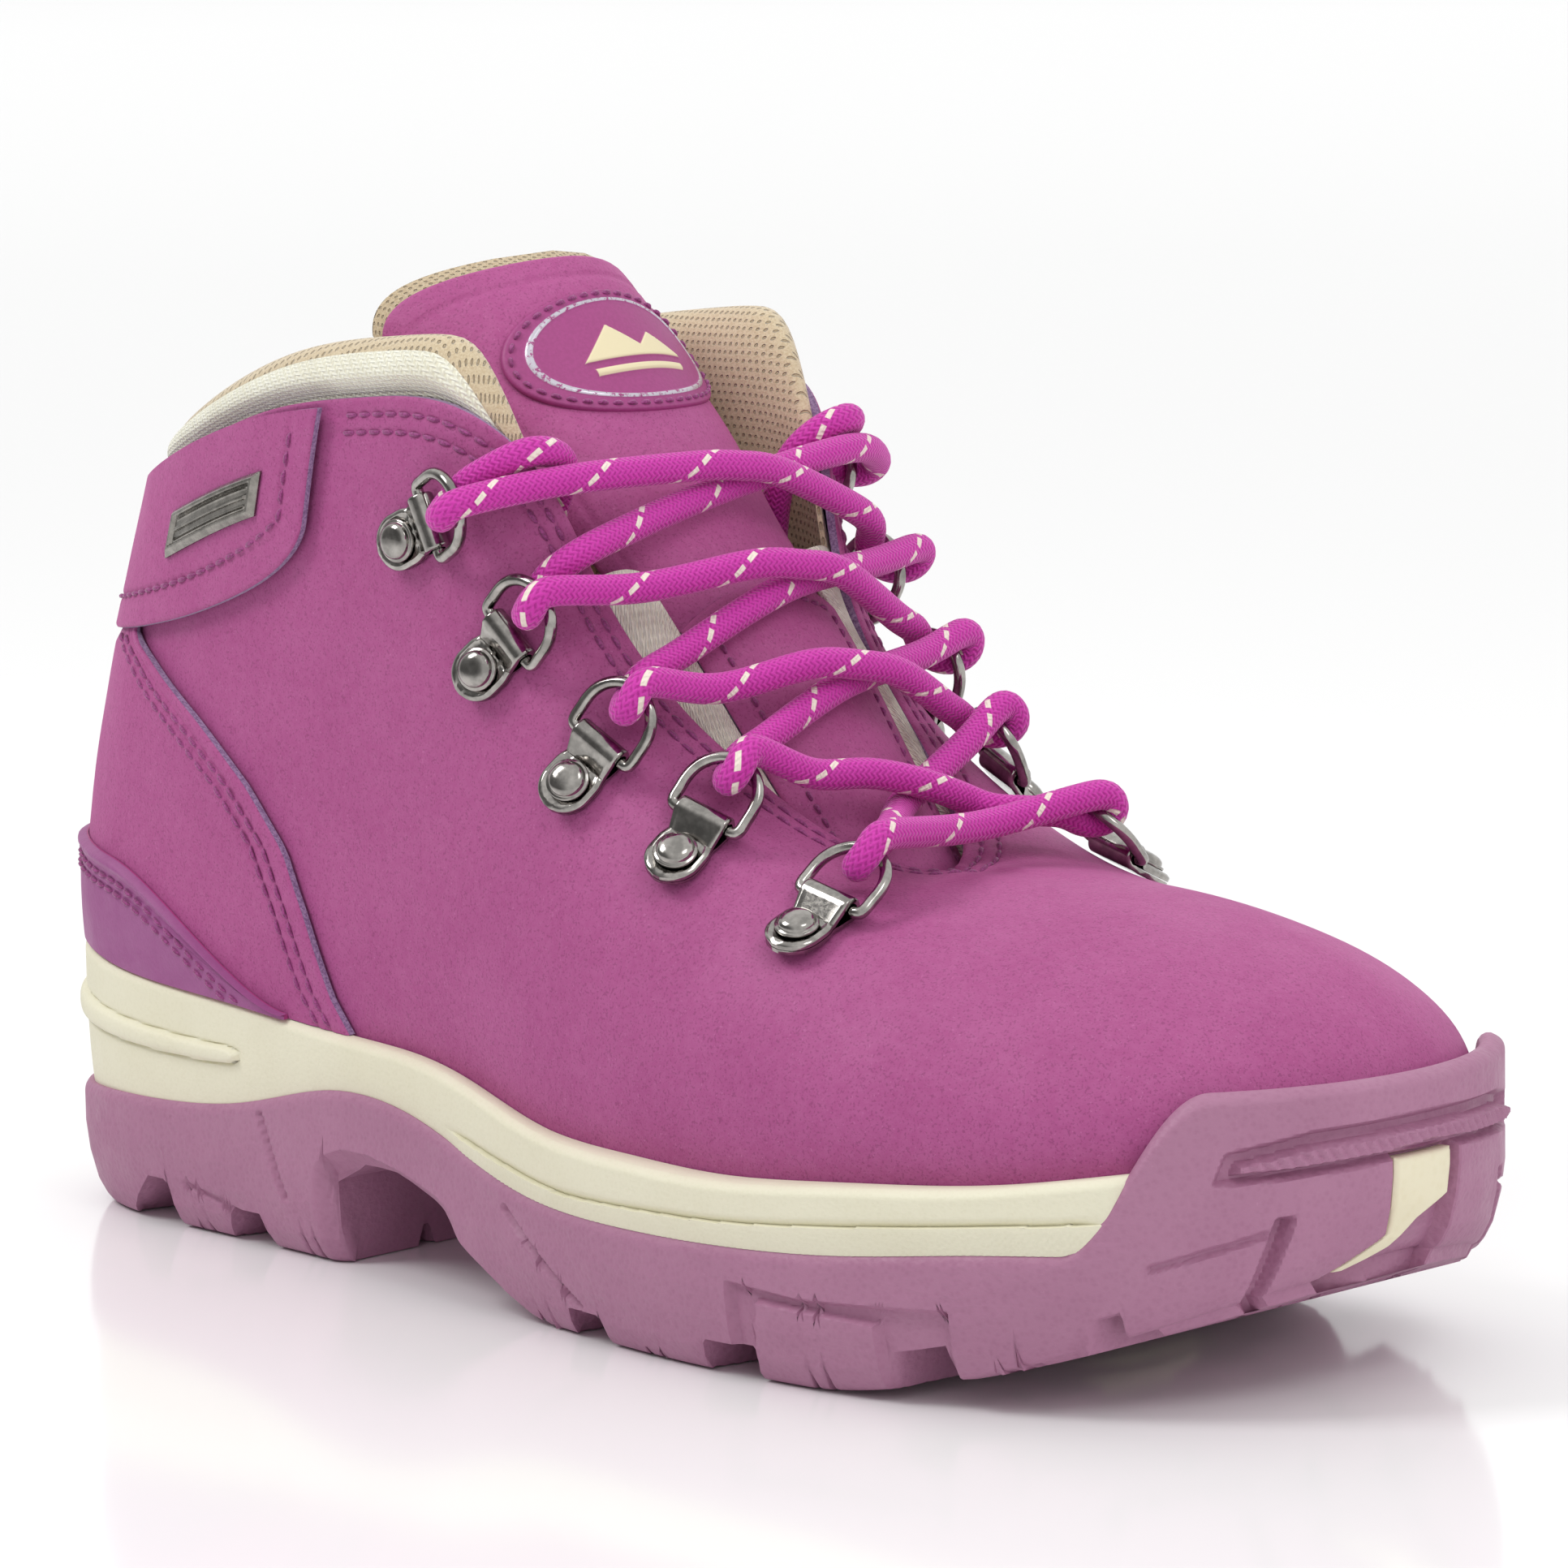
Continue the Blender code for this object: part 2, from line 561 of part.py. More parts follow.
def tongue_piece(name, a_range, b_range, outside, thickness, mat, cols=11, rows=12):
    a, b = np.meshgrid(np.linspace(0, 1, cols), np.linspace(0, 1, rows), indexing="ij")
    b_low, b_high = b_range(2 * a - 1)
    bb = b_low + (b_high - b_low) * b
    a_low, a_high = a_range(bb)
    aa = a_low + (a_high - a_low) * a
    return shell(name, tongue(aa, bb, outside), tongue(aa, bb, outside - thickness), False, mat, HINGE)


def make_tongue():
    def rounded(low, high):
        def edges(a):
            return low + 0 * a, high - 0.05 * np.abs(a) ** 5
        return edges

    def panel_ends(a):
        return 0.17 + 0.03 * a ** 4, 0.60 - 0.03 * a ** 2
    tongue_piece("tongue_leather", constant(-1, 1), rounded(0.02, 1.0), 0.0, TONGUE_LEATHER, "leather",
                 cols=13, rows=14)
    depth = -TONGUE_LEATHER - FIT
    tongue_piece("tongue_foam", constant(-0.93, 0.93), rounded(0.12, 0.975), depth, TONGUE_FOAM, "foam",
                 cols=13, rows=14)
    depth -= TONGUE_FOAM + FIT
    tongue_piece("tongue_lining", constant(-1, 1), rounded(0.12, 1.0), depth, LINING, "tan_mesh",
                 cols=13, rows=12)
    tongue_piece("tongue_lower_panel", constant(-0.78, 0.78), panel_ends, FIT + 1.0, 1.0, "leather",
                 cols=11, rows=9)
    make_tongue_patch()


def make_tongue_patch():
    angles = np.linspace(0, 2 * math.pi, 24, endpoint=False)
    rings = np.array([0.35, 0.7, 1.0])
    across = 40 * np.outer(rings, np.cos(angles))
    along = 0.868 + 0.064 * np.outer(rings, np.sin(angles))
    faces = []
    points = []
    for offset in (GAP + 0.8, GAP):
        points.append(tongue_at(0.0, 0.868, offset)[None])
        points.append(tongue_at(across, along, offset).reshape(-1, 3))
    points = np.concatenate(points)
    half = 1 + rings.size * angles.size
    for side in (0, half):
        for k in range(angles.size):
            m = (k + 1) % angles.size
            faces.append((side, side + 1 + k, side + 1 + m))
            for r in range(rings.size - 1):
                low, high = side + 1 + r * angles.size, side + 1 + (r + 1) * angles.size
                faces.append((low + k, high + k, high + m, low + m))
    rim = 1 + (rings.size - 1) * angles.size
    for k in range(angles.size):
        m = (k + 1) % angles.size
        faces.append((rim + k, half + rim + k, half + rim + m, rim + m))
    add_mesh("tongue_patch", points, faces, "patch", HINGE)


def make_gussets():
    """A fabric strip along each side of the tongue, from its lower panel out under the throat's edge."""
    for name, side in (("gusset_outer", -1), ("gusset_inner", 1)):
        tongue_piece(name, constant(side * 0.80, side * 1.0), constant(0.18, 0.62), GAP + 0.8, 0.8,
                     "cream_fabric", cols=4, rows=10)


# ---------------------------------------------------------------- clips and lace
PLATE_W = 9.4
PLATE_T = 0.9
BAR_AT = 7.5              # rivet to hinge bar
BAR_UP = 2.6              # hinge bar above the plane through the clip's two places on the wall


def clip_frame(number, inner):
    """Rivet point, direction to the ring, hinge direction and outward normal."""
    (st0, v0), (st1, v1) = CLIPS[number]
    t0, t1 = st0 / STATIONS, st1 / STATIONS
    if inner:
        t0, t1 = 1 - t0, 1 - t1
    rivet, ring = wall(t0, v0), wall(t1, v1)
    d = (ring - rivet) / np.linalg.norm(ring - rivet)
    n = wall_normal((t0 + t1) / 2, (v0 + v1) / 2)
    n = n - d * np.dot(n, d)
    n /= np.linalg.norm(n)
    s = np.cross(n, d)
    near_t, near_v = np.meshgrid(np.linspace(t0 - 0.03, t0 + 0.03, 25), np.linspace(v0 - 0.15, v0 + 0.3, 37))
    near = wall(near_t, np.minimum(near_v, 1.0)) - rivet
    under = (np.abs(near @ s) < PLATE_W / 2) & (near @ d > -5.5) & (near @ d < BAR_AT + 2)
    return rivet + n * (near @ n)[under].max(), d, s, n


def placed(frame, points):
    """Points given along (d, s, n) from the rivet."""
    rivet, d, s, n = frame
    p = np.atleast_2d(np.array(points, float))
    return rivet + p[:, :1] * d + p[:, 1:2] * s + p[:, 2:3] * n


def plate_profile():
    """Side view of the folded plate, as one closed outline: two layers joined by the barrel."""
    outer_r, inner_r = WIRE_R + GAP + PLATE_T, WIRE_R + GAP
    low, tail = GAP, -5.3
    layer = [(tail, low), (BAR_AT - 2.6, low)]
    outer = [(BAR_AT + outer_r * math.cos(a), BAR_UP + outer_r * math.sin(a))
             for a in np.linspace(-math.pi / 2 - 0.35, math.pi / 2 + 0.9, 9)]
    mid = low + PLATE_T
    upper = [(BAR_AT - 3.6, mid + PLATE_T + 0.15), (tail, mid + PLATE_T + 0.15), (tail, mid + 0.15),
             (BAR_AT - 3.2, mid + 0.15)]
    inner = [(BAR_AT + inner_r * math.cos(a), BAR_UP + inner_r * math.sin(a))
             for a in np.linspace(math.pi / 2 + 1.0, -math.pi / 2 - 0.5, 9)]
    back = [(BAR_AT - 2.9, mid), (tail, mid)]
    return layer + outer + upper + inner + back


def make_clips():
    for inner in (False, True):
        side = "inner" if inner else "outer"
        for number in range(len(CLIPS)):
            frame = clip_frame(number, inner)
            tag = f"{side}_{number + 1}"
            make_plate("clip_plate_" + tag, frame)
            make_rivet("clip_rivet_" + tag, frame)
            make_ring("d_ring_" + tag, frame)


def make_plate(name, frame):
    profile = plate_profile()
    count = len(profile)
    tail_half, half = 2.6, PLATE_W / 2
    points = []
    for across, share in ((-half, 1.0), (-tail_half, 0.0), (tail_half, 0.0), (half, 1.0)):
        for x, z in profile:
            tucked = x + (2.2 * share if x < -5 else 0)
            points.append((tucked, across, z))
    faces = [tuple(range(count)), tuple(range(3 * count, 4 * count))]
    for level in range(3):
        for i in range(count):
            k = (i + 1) % count
            low, high = level * count, (level + 1) * count
            faces.append((low + i, low + k, high + k, high + i))
    add_mesh(name, placed(frame, points), faces, "metal", frame[0], smooth=False)


def make_rivet(name, frame):
    base = 2 * GAP + 2 * PLATE_T + 0.15
    profile = [(3.5, 0.0), (3.5, 0.5), (3.0, 0.7), (2.7, 1.3), (1.6, 1.95), (0.0, 2.15)]
    segments = 12
    points = [(0, 0, base)]
    for radius, up in profile[:-1]:
        points += [(radius * math.cos(a), radius * math.sin(a), base + up)
                   for a in np.linspace(0, 2 * math.pi, segments, endpoint=False)]
    points.append((0, 0, base + profile[-1][1]))
    faces = []
    last = len(points) - 1
    for k in range(segments):
        m = (k + 1) % segments
        faces.append((0, 1 + m, 1 + k))
        for level in range(len(profile) - 2):
            low, high = 1 + level * segments, 1 + (level + 1) * segments
            faces.append((low + k, low + m, high + m, high + k))
        top = 1 + (len(profile) - 2) * segments
        faces.append((top + k, top + m, last))
    add_mesh(name, placed(frame, points), faces, "metal", frame[0])


def ring_axes(frame):
    """Hinge point, direction to the bow and the ring's normal, with the ring lifted by the lace."""
    tilt = math.radians(RING_TILT)
    hinge = placed(frame, (BAR_AT, 0, BAR_UP))[0]
    _, d, _, n = frame
    return hinge, d * math.cos(tilt) + n * math.sin(tilt), n * math.cos(tilt) - d * math.sin(tilt)


def make_ring(name, frame):
    hinge, out, _ = ring_axes(frame)
    s = frame[2]
    half = RING_W / 2
    straight = RING_L - half
    path = [(-half, 0.9), (-half + 0.9, 0), (half - 0.9, 0), (half, 0.9)]
    path += [(half * math.cos(a), straight + half * math.sin(a)) for a in np.linspace(0, math.pi, 8)]
    points = [hinge + s * x + out * y for x, y in path]
    return tube(name, points, WIRE_R, "metal", closed=True, resolution=1, origin=hinge)


# The lace's free ends, from where each crosses the throat's edge down inside the boot.
LACE_END = [(137.2, -38, 142.8), (136.5, -28.6, 140.5), (132.5, -26.2, 131), (128, -28, 116),
            (128, -28.5, 98), (134, -28.5, 78), (146, -29, 61), (162, -31.5, 50.5), (178, -34, 46)]
AGLET_LENGTH = 22.0
AGLET_R = 2.1
EDGE_CLEAR = 3.7          # lace centre above the throat's edge
CREST_CLEAR = 5.3         # lace centre above the tongue's crest
CROSSING = 5.3            # between the centres of two strands that cross
BAR_CLEAR = 6.5           # centre of the lowest, straight strand out of the instep's base line
TURN_ANGLES = (-56, 23, 102, 180)


def instep(point):
    """A point as (distance up the instep, across, distance out of it)."""
    from_base = np.array(point) - INSTEP_BASE
    return np.array([from_base @ INSTEP_UP, from_base[1], from_base @ INSTEP_FRONT])


def from_instep(up, across, out):
    return INSTEP_BASE + INSTEP_UP * up + INSTEP_FRONT * out + np.array([0.0, across, 0.0])


EDGE_T = np.linspace(0.5, 0.2, 61)
EDGE_LINE = np.array([instep(p) for p in TOP_EDGE(EDGE_T)])
CREST_LINE = np.array([instep(p) for p in tongue(0.0, np.linspace(0, 1, 61))])


def lace_turn(number, inner, over_first):
    """Half a turn through a ring; the strand over the bow goes down the foot, the one under it up."""
    hinge, out, up = ring_axes(clip_frame(number, inner))
    bow = hinge + out * RING_L
    points = []
    for angle in np.radians(TURN_ANGLES):
        turn = up * math.cos(angle) - out * math.sin(angle)
        points.append(bow + LACE_BEND * turn - INSTEP_UP * LACE_SPREAD * math.cos(angle))
    return points if over_first else points[::-1]


def strand(start, end, on_top):
    """From one side's ring to the other's: over one edge of the throat, the tongue and the other edge."""
    a, b = instep(start), instep(end)
    points = []
    for near, far in ((a, b), (b, a)):
        w = near[0] + 0.2 * (far[0] - near[0])
        half = -np.interp(w, EDGE_LINE[:, 0], EDGE_LINE[:, 1])
        edge = np.interp(w, EDGE_LINE[:, 0], EDGE_LINE[:, 2])
        across = half * np.sign(near[1])
        share = (across - near[1]) / (far[1] - near[1])
        w = near[0] + share * (far[0] - near[0])
        points.append((w, across, edge + EDGE_CLEAR))
    w = (a[0] + b[0]) / 2
    crest = np.interp(w, CREST_LINE[:, 0], CREST_LINE[:, 2]) + CREST_CLEAR
    middle = [(w, 0.0, crest)]
    if on_top:
        lean = (b[0] - a[0]) / (b[1] - a[1])
        middle = [(w + lean * y, y, crest + CROSSING - abs(y) * 0.1)
                  for y in (np.sign(a[1]) * 9, 0, np.sign(b[1]) * 9)]
    return [from_instep(*p) for p in [points[0]] + middle + [points[1]]]


def lace_route():
    """Criss-cross lacing from the outer top ring down to the toe and back up to the inner top ring."""
    rings = len(CLIPS)
    turns = [(i, i % 2 == 1, False) for i in range(rings)]
    turns += [(i, i % 2 == 0, True) for i in reversed(range(rings))]
    route = []
    for place, (number, inner, over_first) in enumerate(turns):
        turn = lace_turn(number, inner, over_first)
        if place == rings:
            route.append(from_instep(1.5, 0.0, BAR_CLEAR))
        elif place:
            down = place < rings
            from_outer = not turns[place - 1][1]
            route += strand(route[-1], turn[0], from_outer == down)
        route += turn
    mirrored = [(x, -y, z) for x, y, z in LACE_END]
    return LACE_END[::-1] + route + mirrored


def make_lace():
    route = lace_route()
    tube("lace", route, LACE_R, "lace")
    tips = ("lace_aglet_outer", route[0], route[1]), ("lace_aglet_inner", route[-1], route[-2])
    for name, end, before in tips:
        away = np.array(end, float) - before
        away /= np.linalg.norm(away)
        tube(name, [end + away * GAP, end + away * (GAP + AGLET_LENGTH)], AGLET_R, "metal")


# ---------------------------------------------------------------- run
def clear_scene():
    for obj in list(bpy.data.objects):
        bpy.data.objects.remove(obj, do_unlink=True)


def main():
    clear_scene()
    make_outsole()
    make_tread_inserts()
    make_midsole()
    plate("insole_board", 2.4, GAP, GAP + 1.6, "board")
    plate("footbed", 5.6, 2 * GAP + 1.6, 2 * GAP + 5.2, "tan_mesh")
    make_upper_leather()
    make_heel_pieces()
    make_stiffeners()
    make_lining_and_collar()
    make_tongue()
    make_gussets()
    make_clips()
    make_lace()


main()
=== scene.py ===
"""Looks of the laced right hiking boot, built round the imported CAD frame.

Lengths are in millimetres from the back of the heel, as in the CAD source, and every piece is placed
in metres about MIDDLE. The wall of the upper is a surface (t, v): t goes round from the heel, v goes
from the feather edge to the top edge. Rough order: shapes, finishes, camera, lace, leather, lining,
tongue, clips, sole, inside, floor and light.
"""
import json
import math

import bmesh
import bpy
import numpy as np
from mathutils import Matrix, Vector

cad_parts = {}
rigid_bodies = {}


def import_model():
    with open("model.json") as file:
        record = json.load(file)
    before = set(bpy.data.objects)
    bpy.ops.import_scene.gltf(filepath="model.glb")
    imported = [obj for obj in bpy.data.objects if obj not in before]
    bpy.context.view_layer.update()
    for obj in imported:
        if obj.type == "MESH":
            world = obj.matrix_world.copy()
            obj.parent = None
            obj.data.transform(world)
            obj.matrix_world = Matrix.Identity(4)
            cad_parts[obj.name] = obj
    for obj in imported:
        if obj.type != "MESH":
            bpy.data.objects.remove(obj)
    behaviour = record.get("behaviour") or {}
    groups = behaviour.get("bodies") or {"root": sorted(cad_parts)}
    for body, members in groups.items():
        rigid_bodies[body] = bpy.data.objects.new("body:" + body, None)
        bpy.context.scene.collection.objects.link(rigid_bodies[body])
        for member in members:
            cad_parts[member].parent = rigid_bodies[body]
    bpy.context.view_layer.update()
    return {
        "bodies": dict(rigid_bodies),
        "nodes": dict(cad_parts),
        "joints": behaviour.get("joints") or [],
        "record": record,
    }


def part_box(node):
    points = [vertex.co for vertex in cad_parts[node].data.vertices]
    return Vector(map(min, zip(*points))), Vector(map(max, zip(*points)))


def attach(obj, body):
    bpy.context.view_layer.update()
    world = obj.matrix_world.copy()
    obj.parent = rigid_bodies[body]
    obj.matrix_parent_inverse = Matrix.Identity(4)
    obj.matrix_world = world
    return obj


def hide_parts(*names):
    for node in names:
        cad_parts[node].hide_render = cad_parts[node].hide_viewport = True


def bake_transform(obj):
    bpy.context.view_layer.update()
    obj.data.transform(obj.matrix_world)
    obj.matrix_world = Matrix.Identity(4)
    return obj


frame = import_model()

MM = 0.001
MIDDLE = np.array([143.7, -2.74, 0.0])    # middle of the whole boot's footprint, the object's origin
GAP = 0.3                 # clearance between pieces that touch
FIT = 0.5                 # the same between two curved skins
LEATHER = 1.8             # upper leather
LINING = 0.8              # mesh lining
WELT_DEPTH = 3.0          # the upper stands this deep in the midsole's rim
BUMPER_TOP = 50.0         # height of the toe bumper's top edge
WIRE_R = 1.0              # D-ring wire radius
RING_W = 13.0             # D-ring width between wire centres, along its hinge
RING_L = 11.0             # hinge axis to the bow's wire centre
RING_TILT = 20.0          # degrees that the lace holds a ring off the leather
LACE_R = 2.5
LACE_BEND = 4.0           # radius of the lace's turn round a ring
LACE_SPREAD = 2.7         # half the distance along the foot between a turn's two strands

# Stations along the outer side, heel to toe. Each row holds the four points of the wall's
# Bezier profile (feather edge, two handles, top or throat edge) and the sole's outline.
CAGE = [
    ((3, 0, 47), (1, 0, 72), (15, 0, 98), (20, 0, 127), (0, 0)),
    ((11, -21, 47), (10, -23, 72), (22, -22, 100), (30, -21, 128), (7.5, -23)),
    ((32, -31, 44), (31, -34, 68), (40, -32, 104), (54, -34, 136), (28, -34.5)),
    ((62, -35, 42), (61, -38, 66), (68, -38, 112), (80, -40, 143.5), (60, -38)),
    ((90, -37.5, 40), (89, -41, 66), (92, -40, 115), (103, -41.5, 146.5), (88, -41)),
    ((112, -40, 39), (111, -44, 66), (116, -43, 116), (124, -41, 146), (112, -44.5)),
    ((130, -43, 36), (130, -48, 64), (133, -44, 108), (138, -34, 134), (132, -48.5)),
    ((150, -47, 32), (150, -52, 58), (148, -45, 97), (146, -28.5, 115), (152, -53)),
    ((172, -50, 31), (171, -55, 54), (164, -45, 85), (157, -25, 100), (175, -57)),
    ((195, -52, 31), (194, -57, 52), (181, -44, 76), (167, -22, 91), (198, -58.5)),
    ((220, -52, 33), (219, -57, 52), (201, -42, 69), (178, -17.5, 82), (222, -57.5)),
    ((245, -47, 35), (246, -52, 54), (222, -36, 69), (187, -11, 75.5), (246, -53)),
    ((266, -36, 38), (268, -40, 57), (239, -24, 73), (191, -5, 73), (268, -41)),
    ((279, -18, 39), (283, -19, 58), (247, -11, 77), (192.5, -2, 72.5), (283, -20)),
    ((283, 5, 39), (288, 5, 58), (250, 3, 78), (193, 0.5, 72), (288, 4)),
]
# Half-widths of the feather edge and of the outline on the inner side, stations 1 to 13.
INNER_Y = [(21, 23), (30.5, 34), (34, 37), (33.5, 36.5), (33, 35.5), (34, 36.5), (37, 40),
           (42, 45.5), (46.5, 50.5), (48.5, 53), (46.5, 51.5), (39, 44), (25, 27)]
INNER_TOP = 0.94          # the inner side's top edge stands a little nearer the middle
# Top of the outsole's wall at the same stations, without the toe bumper.
SEAT_Z = [21, 21, 22, 24, 30, 29.5, 24.5, 21, 20.5, 21, 22.5, 25, 26, 27, 27]

# Clips: place on the wall of rivet and of ring, as (station along the outer side, height 0..1)
CLIPS = [((4.77, 0.777), (5.30, 0.853)), ((5.87, 0.66), (6.33, 0.80)), ((7.22, 0.643), (7.62, 0.817)),
         ((8.58, 0.667), (9.07, 0.863)), ((9.90, 0.63), (10.55, 0.807))]


# ---------------------------------------------------------------- the foot-shaped surface
def both_sides(cage, inner_y):
    """The stations all the way round: heel, outer side, toe, inner side."""
    rows = [[np.array(p, float) for p in row] for row in cage]
    around = [list(row) for row in rows]
    for i in range(len(rows) - 2, 0, -1):
        feather_y, outline_y = inner_y[i - 1]
        p0, p1, p2, p3, outline = [p.copy() for p in rows[i]]
        share = feather_y / -p0[1]
        p0[1] = feather_y
        p1[1] *= -share
        p2[1] *= -(1 + share) / 2
        p3[1] *= -INNER_TOP
        outline[1] = outline_y
        around.append([p0, p1, p2, p3, outline])
    return around


def ring_spline(values):
    """A closed cubic spline through evenly spaced values, as a function of t in 0..1."""
    y = np.array(values, float)
    n = len(y)
    eye = np.eye(n)
    system = 4 * eye + np.roll(eye, 1, 0) + np.roll(eye, -1, 0)
    slope = np.linalg.solve(system, 3 * (np.roll(y, -1, 0) - np.roll(y, 1, 0)))

    def at(t):
        u = np.asarray(t, float) % 1.0 * n
        i = np.floor(u).astype(int) % n
        j = (i + 1) % n
        h = u - np.floor(u)
        if y.ndim > 1:
            h = h[..., None]
        return ((1 + 2 * h) * (1 - h) ** 2 * y[i] + h * (1 - h) ** 2 * slope[i]
                + h * h * (3 - 2 * h) * y[j] + h * h * (h - 1) * slope[j])
    return at


AROUND = both_sides(CAGE, INNER_Y)
STATIONS = len(AROUND)
FEATHER, HANDLE_A, HANDLE_B, TOP_EDGE = [ring_spline([row[k] for row in AROUND]) for k in range(4)]
OUTLINE = ring_spline([row[4] for row in AROUND])
SEAT = ring_spline(SEAT_Z + SEAT_Z[-2:0:-1])


def smoothstep(x, low, high):
    s = np.clip((np.asarray(x, float) - low) / (high - low), 0.0, 1.0)
    return s * s * (3 - 2 * s)


def wall(t, v):
    """A point of the upper's outer face: t goes round from the heel, v from feather to top edge."""
    t, v = np.broadcast_arrays(np.asarray(t, float), np.asarray(v, float))
    w = np.clip(v, 0, 1)[..., None]
    inside = ((1 - w) ** 3 * FEATHER(t) + 3 * w * (1 - w) ** 2 * HANDLE_A(t)
              + 3 * w * w * (1 - w) * HANDLE_B(t) + w ** 3 * TOP_EDGE(t))
    above = TOP_EDGE(t) - HANDLE_B(t)
    above /= np.linalg.norm(above, axis=-1, keepdims=True)
    below = np.array([0.0, 0.0, 1.0])
    over = np.maximum(v - 1, 0)[..., None] * 100.0      # past the edge, v counts 100 mm
    under = np.minimum(v, 0)[..., None] * 100.0
    return inside + over * above + under * below


def wall_normal(t, v, step=1e-3):
    v = np.clip(v, step, 1 - step)
    along = wall(np.asarray(t) + step, v) - wall(np.asarray(t) - step, v)
    up = wall(t, v + step) - wall(t, v - step)
    normal = np.cross(along, up)
    return normal / np.linalg.norm(normal, axis=-1, keepdims=True)


def skin(t, v, offset):
    """A point at a distance outside (+) or inside (-) the upper's outer face."""
    t, v = np.broadcast_arrays(np.asarray(t, float), np.asarray(v, float))
    return wall(t, v) + wall_normal(t, v) * np.asarray(offset, float)[..., None]


def plan_inset(curve, t, inset, step=1e-3):
    """A plan outline moved inwards."""
    tangent = curve(t + step)[..., :2] - curve(t - step)[..., :2]
    tangent /= np.linalg.norm(tangent, axis=-1, keepdims=True)
    inward = np.stack([-tangent[..., 1], tangent[..., 0]], -1)
    return curve(t)[..., :2] + inward * np.asarray(inset, float)[..., None]


def columns(count, crowd=0.4):
    """Places round the foot, closer together at the heel and at the toe."""
    even = np.arange(count) / count
    return even - crowd / (4 * math.pi) * np.sin(4 * math.pi * even)


def outline_x(t):
    return OUTLINE(t)[..., 0]


def ground_line(x):
    """Underside of the wall: rounded heel, then flat, then the toe spring."""
    heel = 4.0 * (1 - np.clip(np.asarray(x) / 14.0, 0, 1)) ** 2
    toe = 21.0 * np.clip((np.asarray(x) - 212.0) / 76.0, 0, 1) ** 1.6
    return heel + toe


def outsole_top(t):
    return SEAT(t) + (BUMPER_TOP - SEAT(t)) * smoothstep(outline_x(t), 258.5, 276.0)


def from_heel(t):
    """How far round the foot t is from the heel, either way, from 0 to 0.5."""
    return np.minimum(np.asarray(t) % 1.0, 1 - np.asarray(t) % 1.0)


COLLAR_T = 0.2            # the padded collar reaches this far round each side of the heel


def collar_share(t):
    """1 along the padded collar, 0 along the throat."""
    return 1 - smoothstep(from_heel(t), COLLAR_T - 0.035, COLLAR_T + 0.02)


# The lining's outer face, from inside the foot up over the collar: (depth, height) at the
# throat and at the padded collar. Height counts the wall's v, and 100 mm a unit above 1.
LINING_PATH = [((4.0, 0.035), (4.0, 0.035)), ((4.0, 0.24), (4.0, 0.24)), ((4.0, 0.46), (4.3, 0.44)),
               ((3.1, 0.70), (8.2, 0.68)), ((2.7, 0.86), (9.4, 0.88)), ((2.6, 0.94), (9.4, 1.02)),
               ((2.6, 0.972), (7.0, 1.084)), ((2.6, 0.984), (3.8, 1.095)), ((2.6, 0.992), (1.5, 1.078))]


# ---------------------------------------------------------------- the tongue's surface
# Stations from the throat's bottom to the tongue's top: its middle line as (x, z), and the radius
# and angle of its curve round the shin.
TONGUE_CREST = [(203, 61), (190, 67), (176, 84), (160, 105), (145, 122), (125, 147), (105, 169)]
TONGUE_RADIUS = [26, 26, 28, 31, 33, 30, 28]
TONGUE_TURN_INNER = [35, 41, 43, 43, 42, 53, 63]
TONGUE_TURN_OUTER = [35, 41, 43, 43, 42, 58, 84]
WING_RISE = 13.0          # how much higher the tongue's outer wing stands than its middle
TONGUE_LEATHER = 1.2
INSTEP_UP = np.array([-0.672, 0.0, 0.741])       # along the instep, from the throat's bottom
INSTEP_FRONT = np.array([0.741, 0.0, 0.672])     # out of the instep
INSTEP_BASE = np.array([193.0, 0.0, 72.0])


def through(values, b):
    """A smooth curve through evenly spaced values, b in 0..1."""
    y = np.array(values, float)
    u = np.clip(np.asarray(b, float), 0, 1) * (len(y) - 1)
    i = np.clip(np.floor(u).astype(int), 0, len(y) - 2)
    h = u - i
    ends = np.concatenate([[2 * y[0] - y[1]], y, [2 * y[-1] - y[-2]]])
    p0, p1, p2, p3 = ends[i], ends[i + 1], ends[i + 2], ends[i + 3]
    if y.ndim > 1:
        h = h[..., None]
    return 0.5 * (2 * p1 + (p2 - p0) * h + (2 * p0 - 5 * p1 + 4 * p2 - p3) * h * h
                  + (3 * p1 - p0 - 3 * p2 + p3) * h ** 3)


def tongue(a, b, offset=0.0):
    """The tongue's outer face: a across from -1 to 1, b from the throat's bottom to the top."""
    turn = np.where(np.asarray(a) < 0, through(TONGUE_TURN_OUTER, b), through(TONGUE_TURN_INNER, b))
    return tongue_at(a * turn, b, offset)


def tongue_at(degrees, b, offset=0.0):
    """The same, with its place across as the angle about the tongue's middle line."""
    degrees, b = np.broadcast_arrays(np.asarray(degrees, float), np.asarray(b, float))
    crest = through(TONGUE_CREST, b)
    ahead, behind = np.minimum(b + 0.01, 1), np.maximum(b - 0.01, 0)
    step = through(TONGUE_CREST, ahead) - through(TONGUE_CREST, behind)
    step /= np.linalg.norm(step, axis=-1, keepdims=True)
    front = np.stack([step[..., 1], -step[..., 0]], -1)
    front *= np.sign(front[..., :1])
    radius = through(TONGUE_RADIUS, b)
    angle = np.radians(degrees)
    reach = radius + offset
    sink = reach * np.cos(angle) - radius
    place = crest + front * sink[..., None]
    side = reach * np.sin(angle) + 1.5 * b
    wing = WING_RISE * smoothstep(b, 0.6, 1.0) * np.clip(-degrees / TONGUE_TURN_OUTER[-1], 0, 1) ** 2
    place = place + step * wing[..., None]
    return np.stack([place[..., 0], side, place[..., 1]], -1)


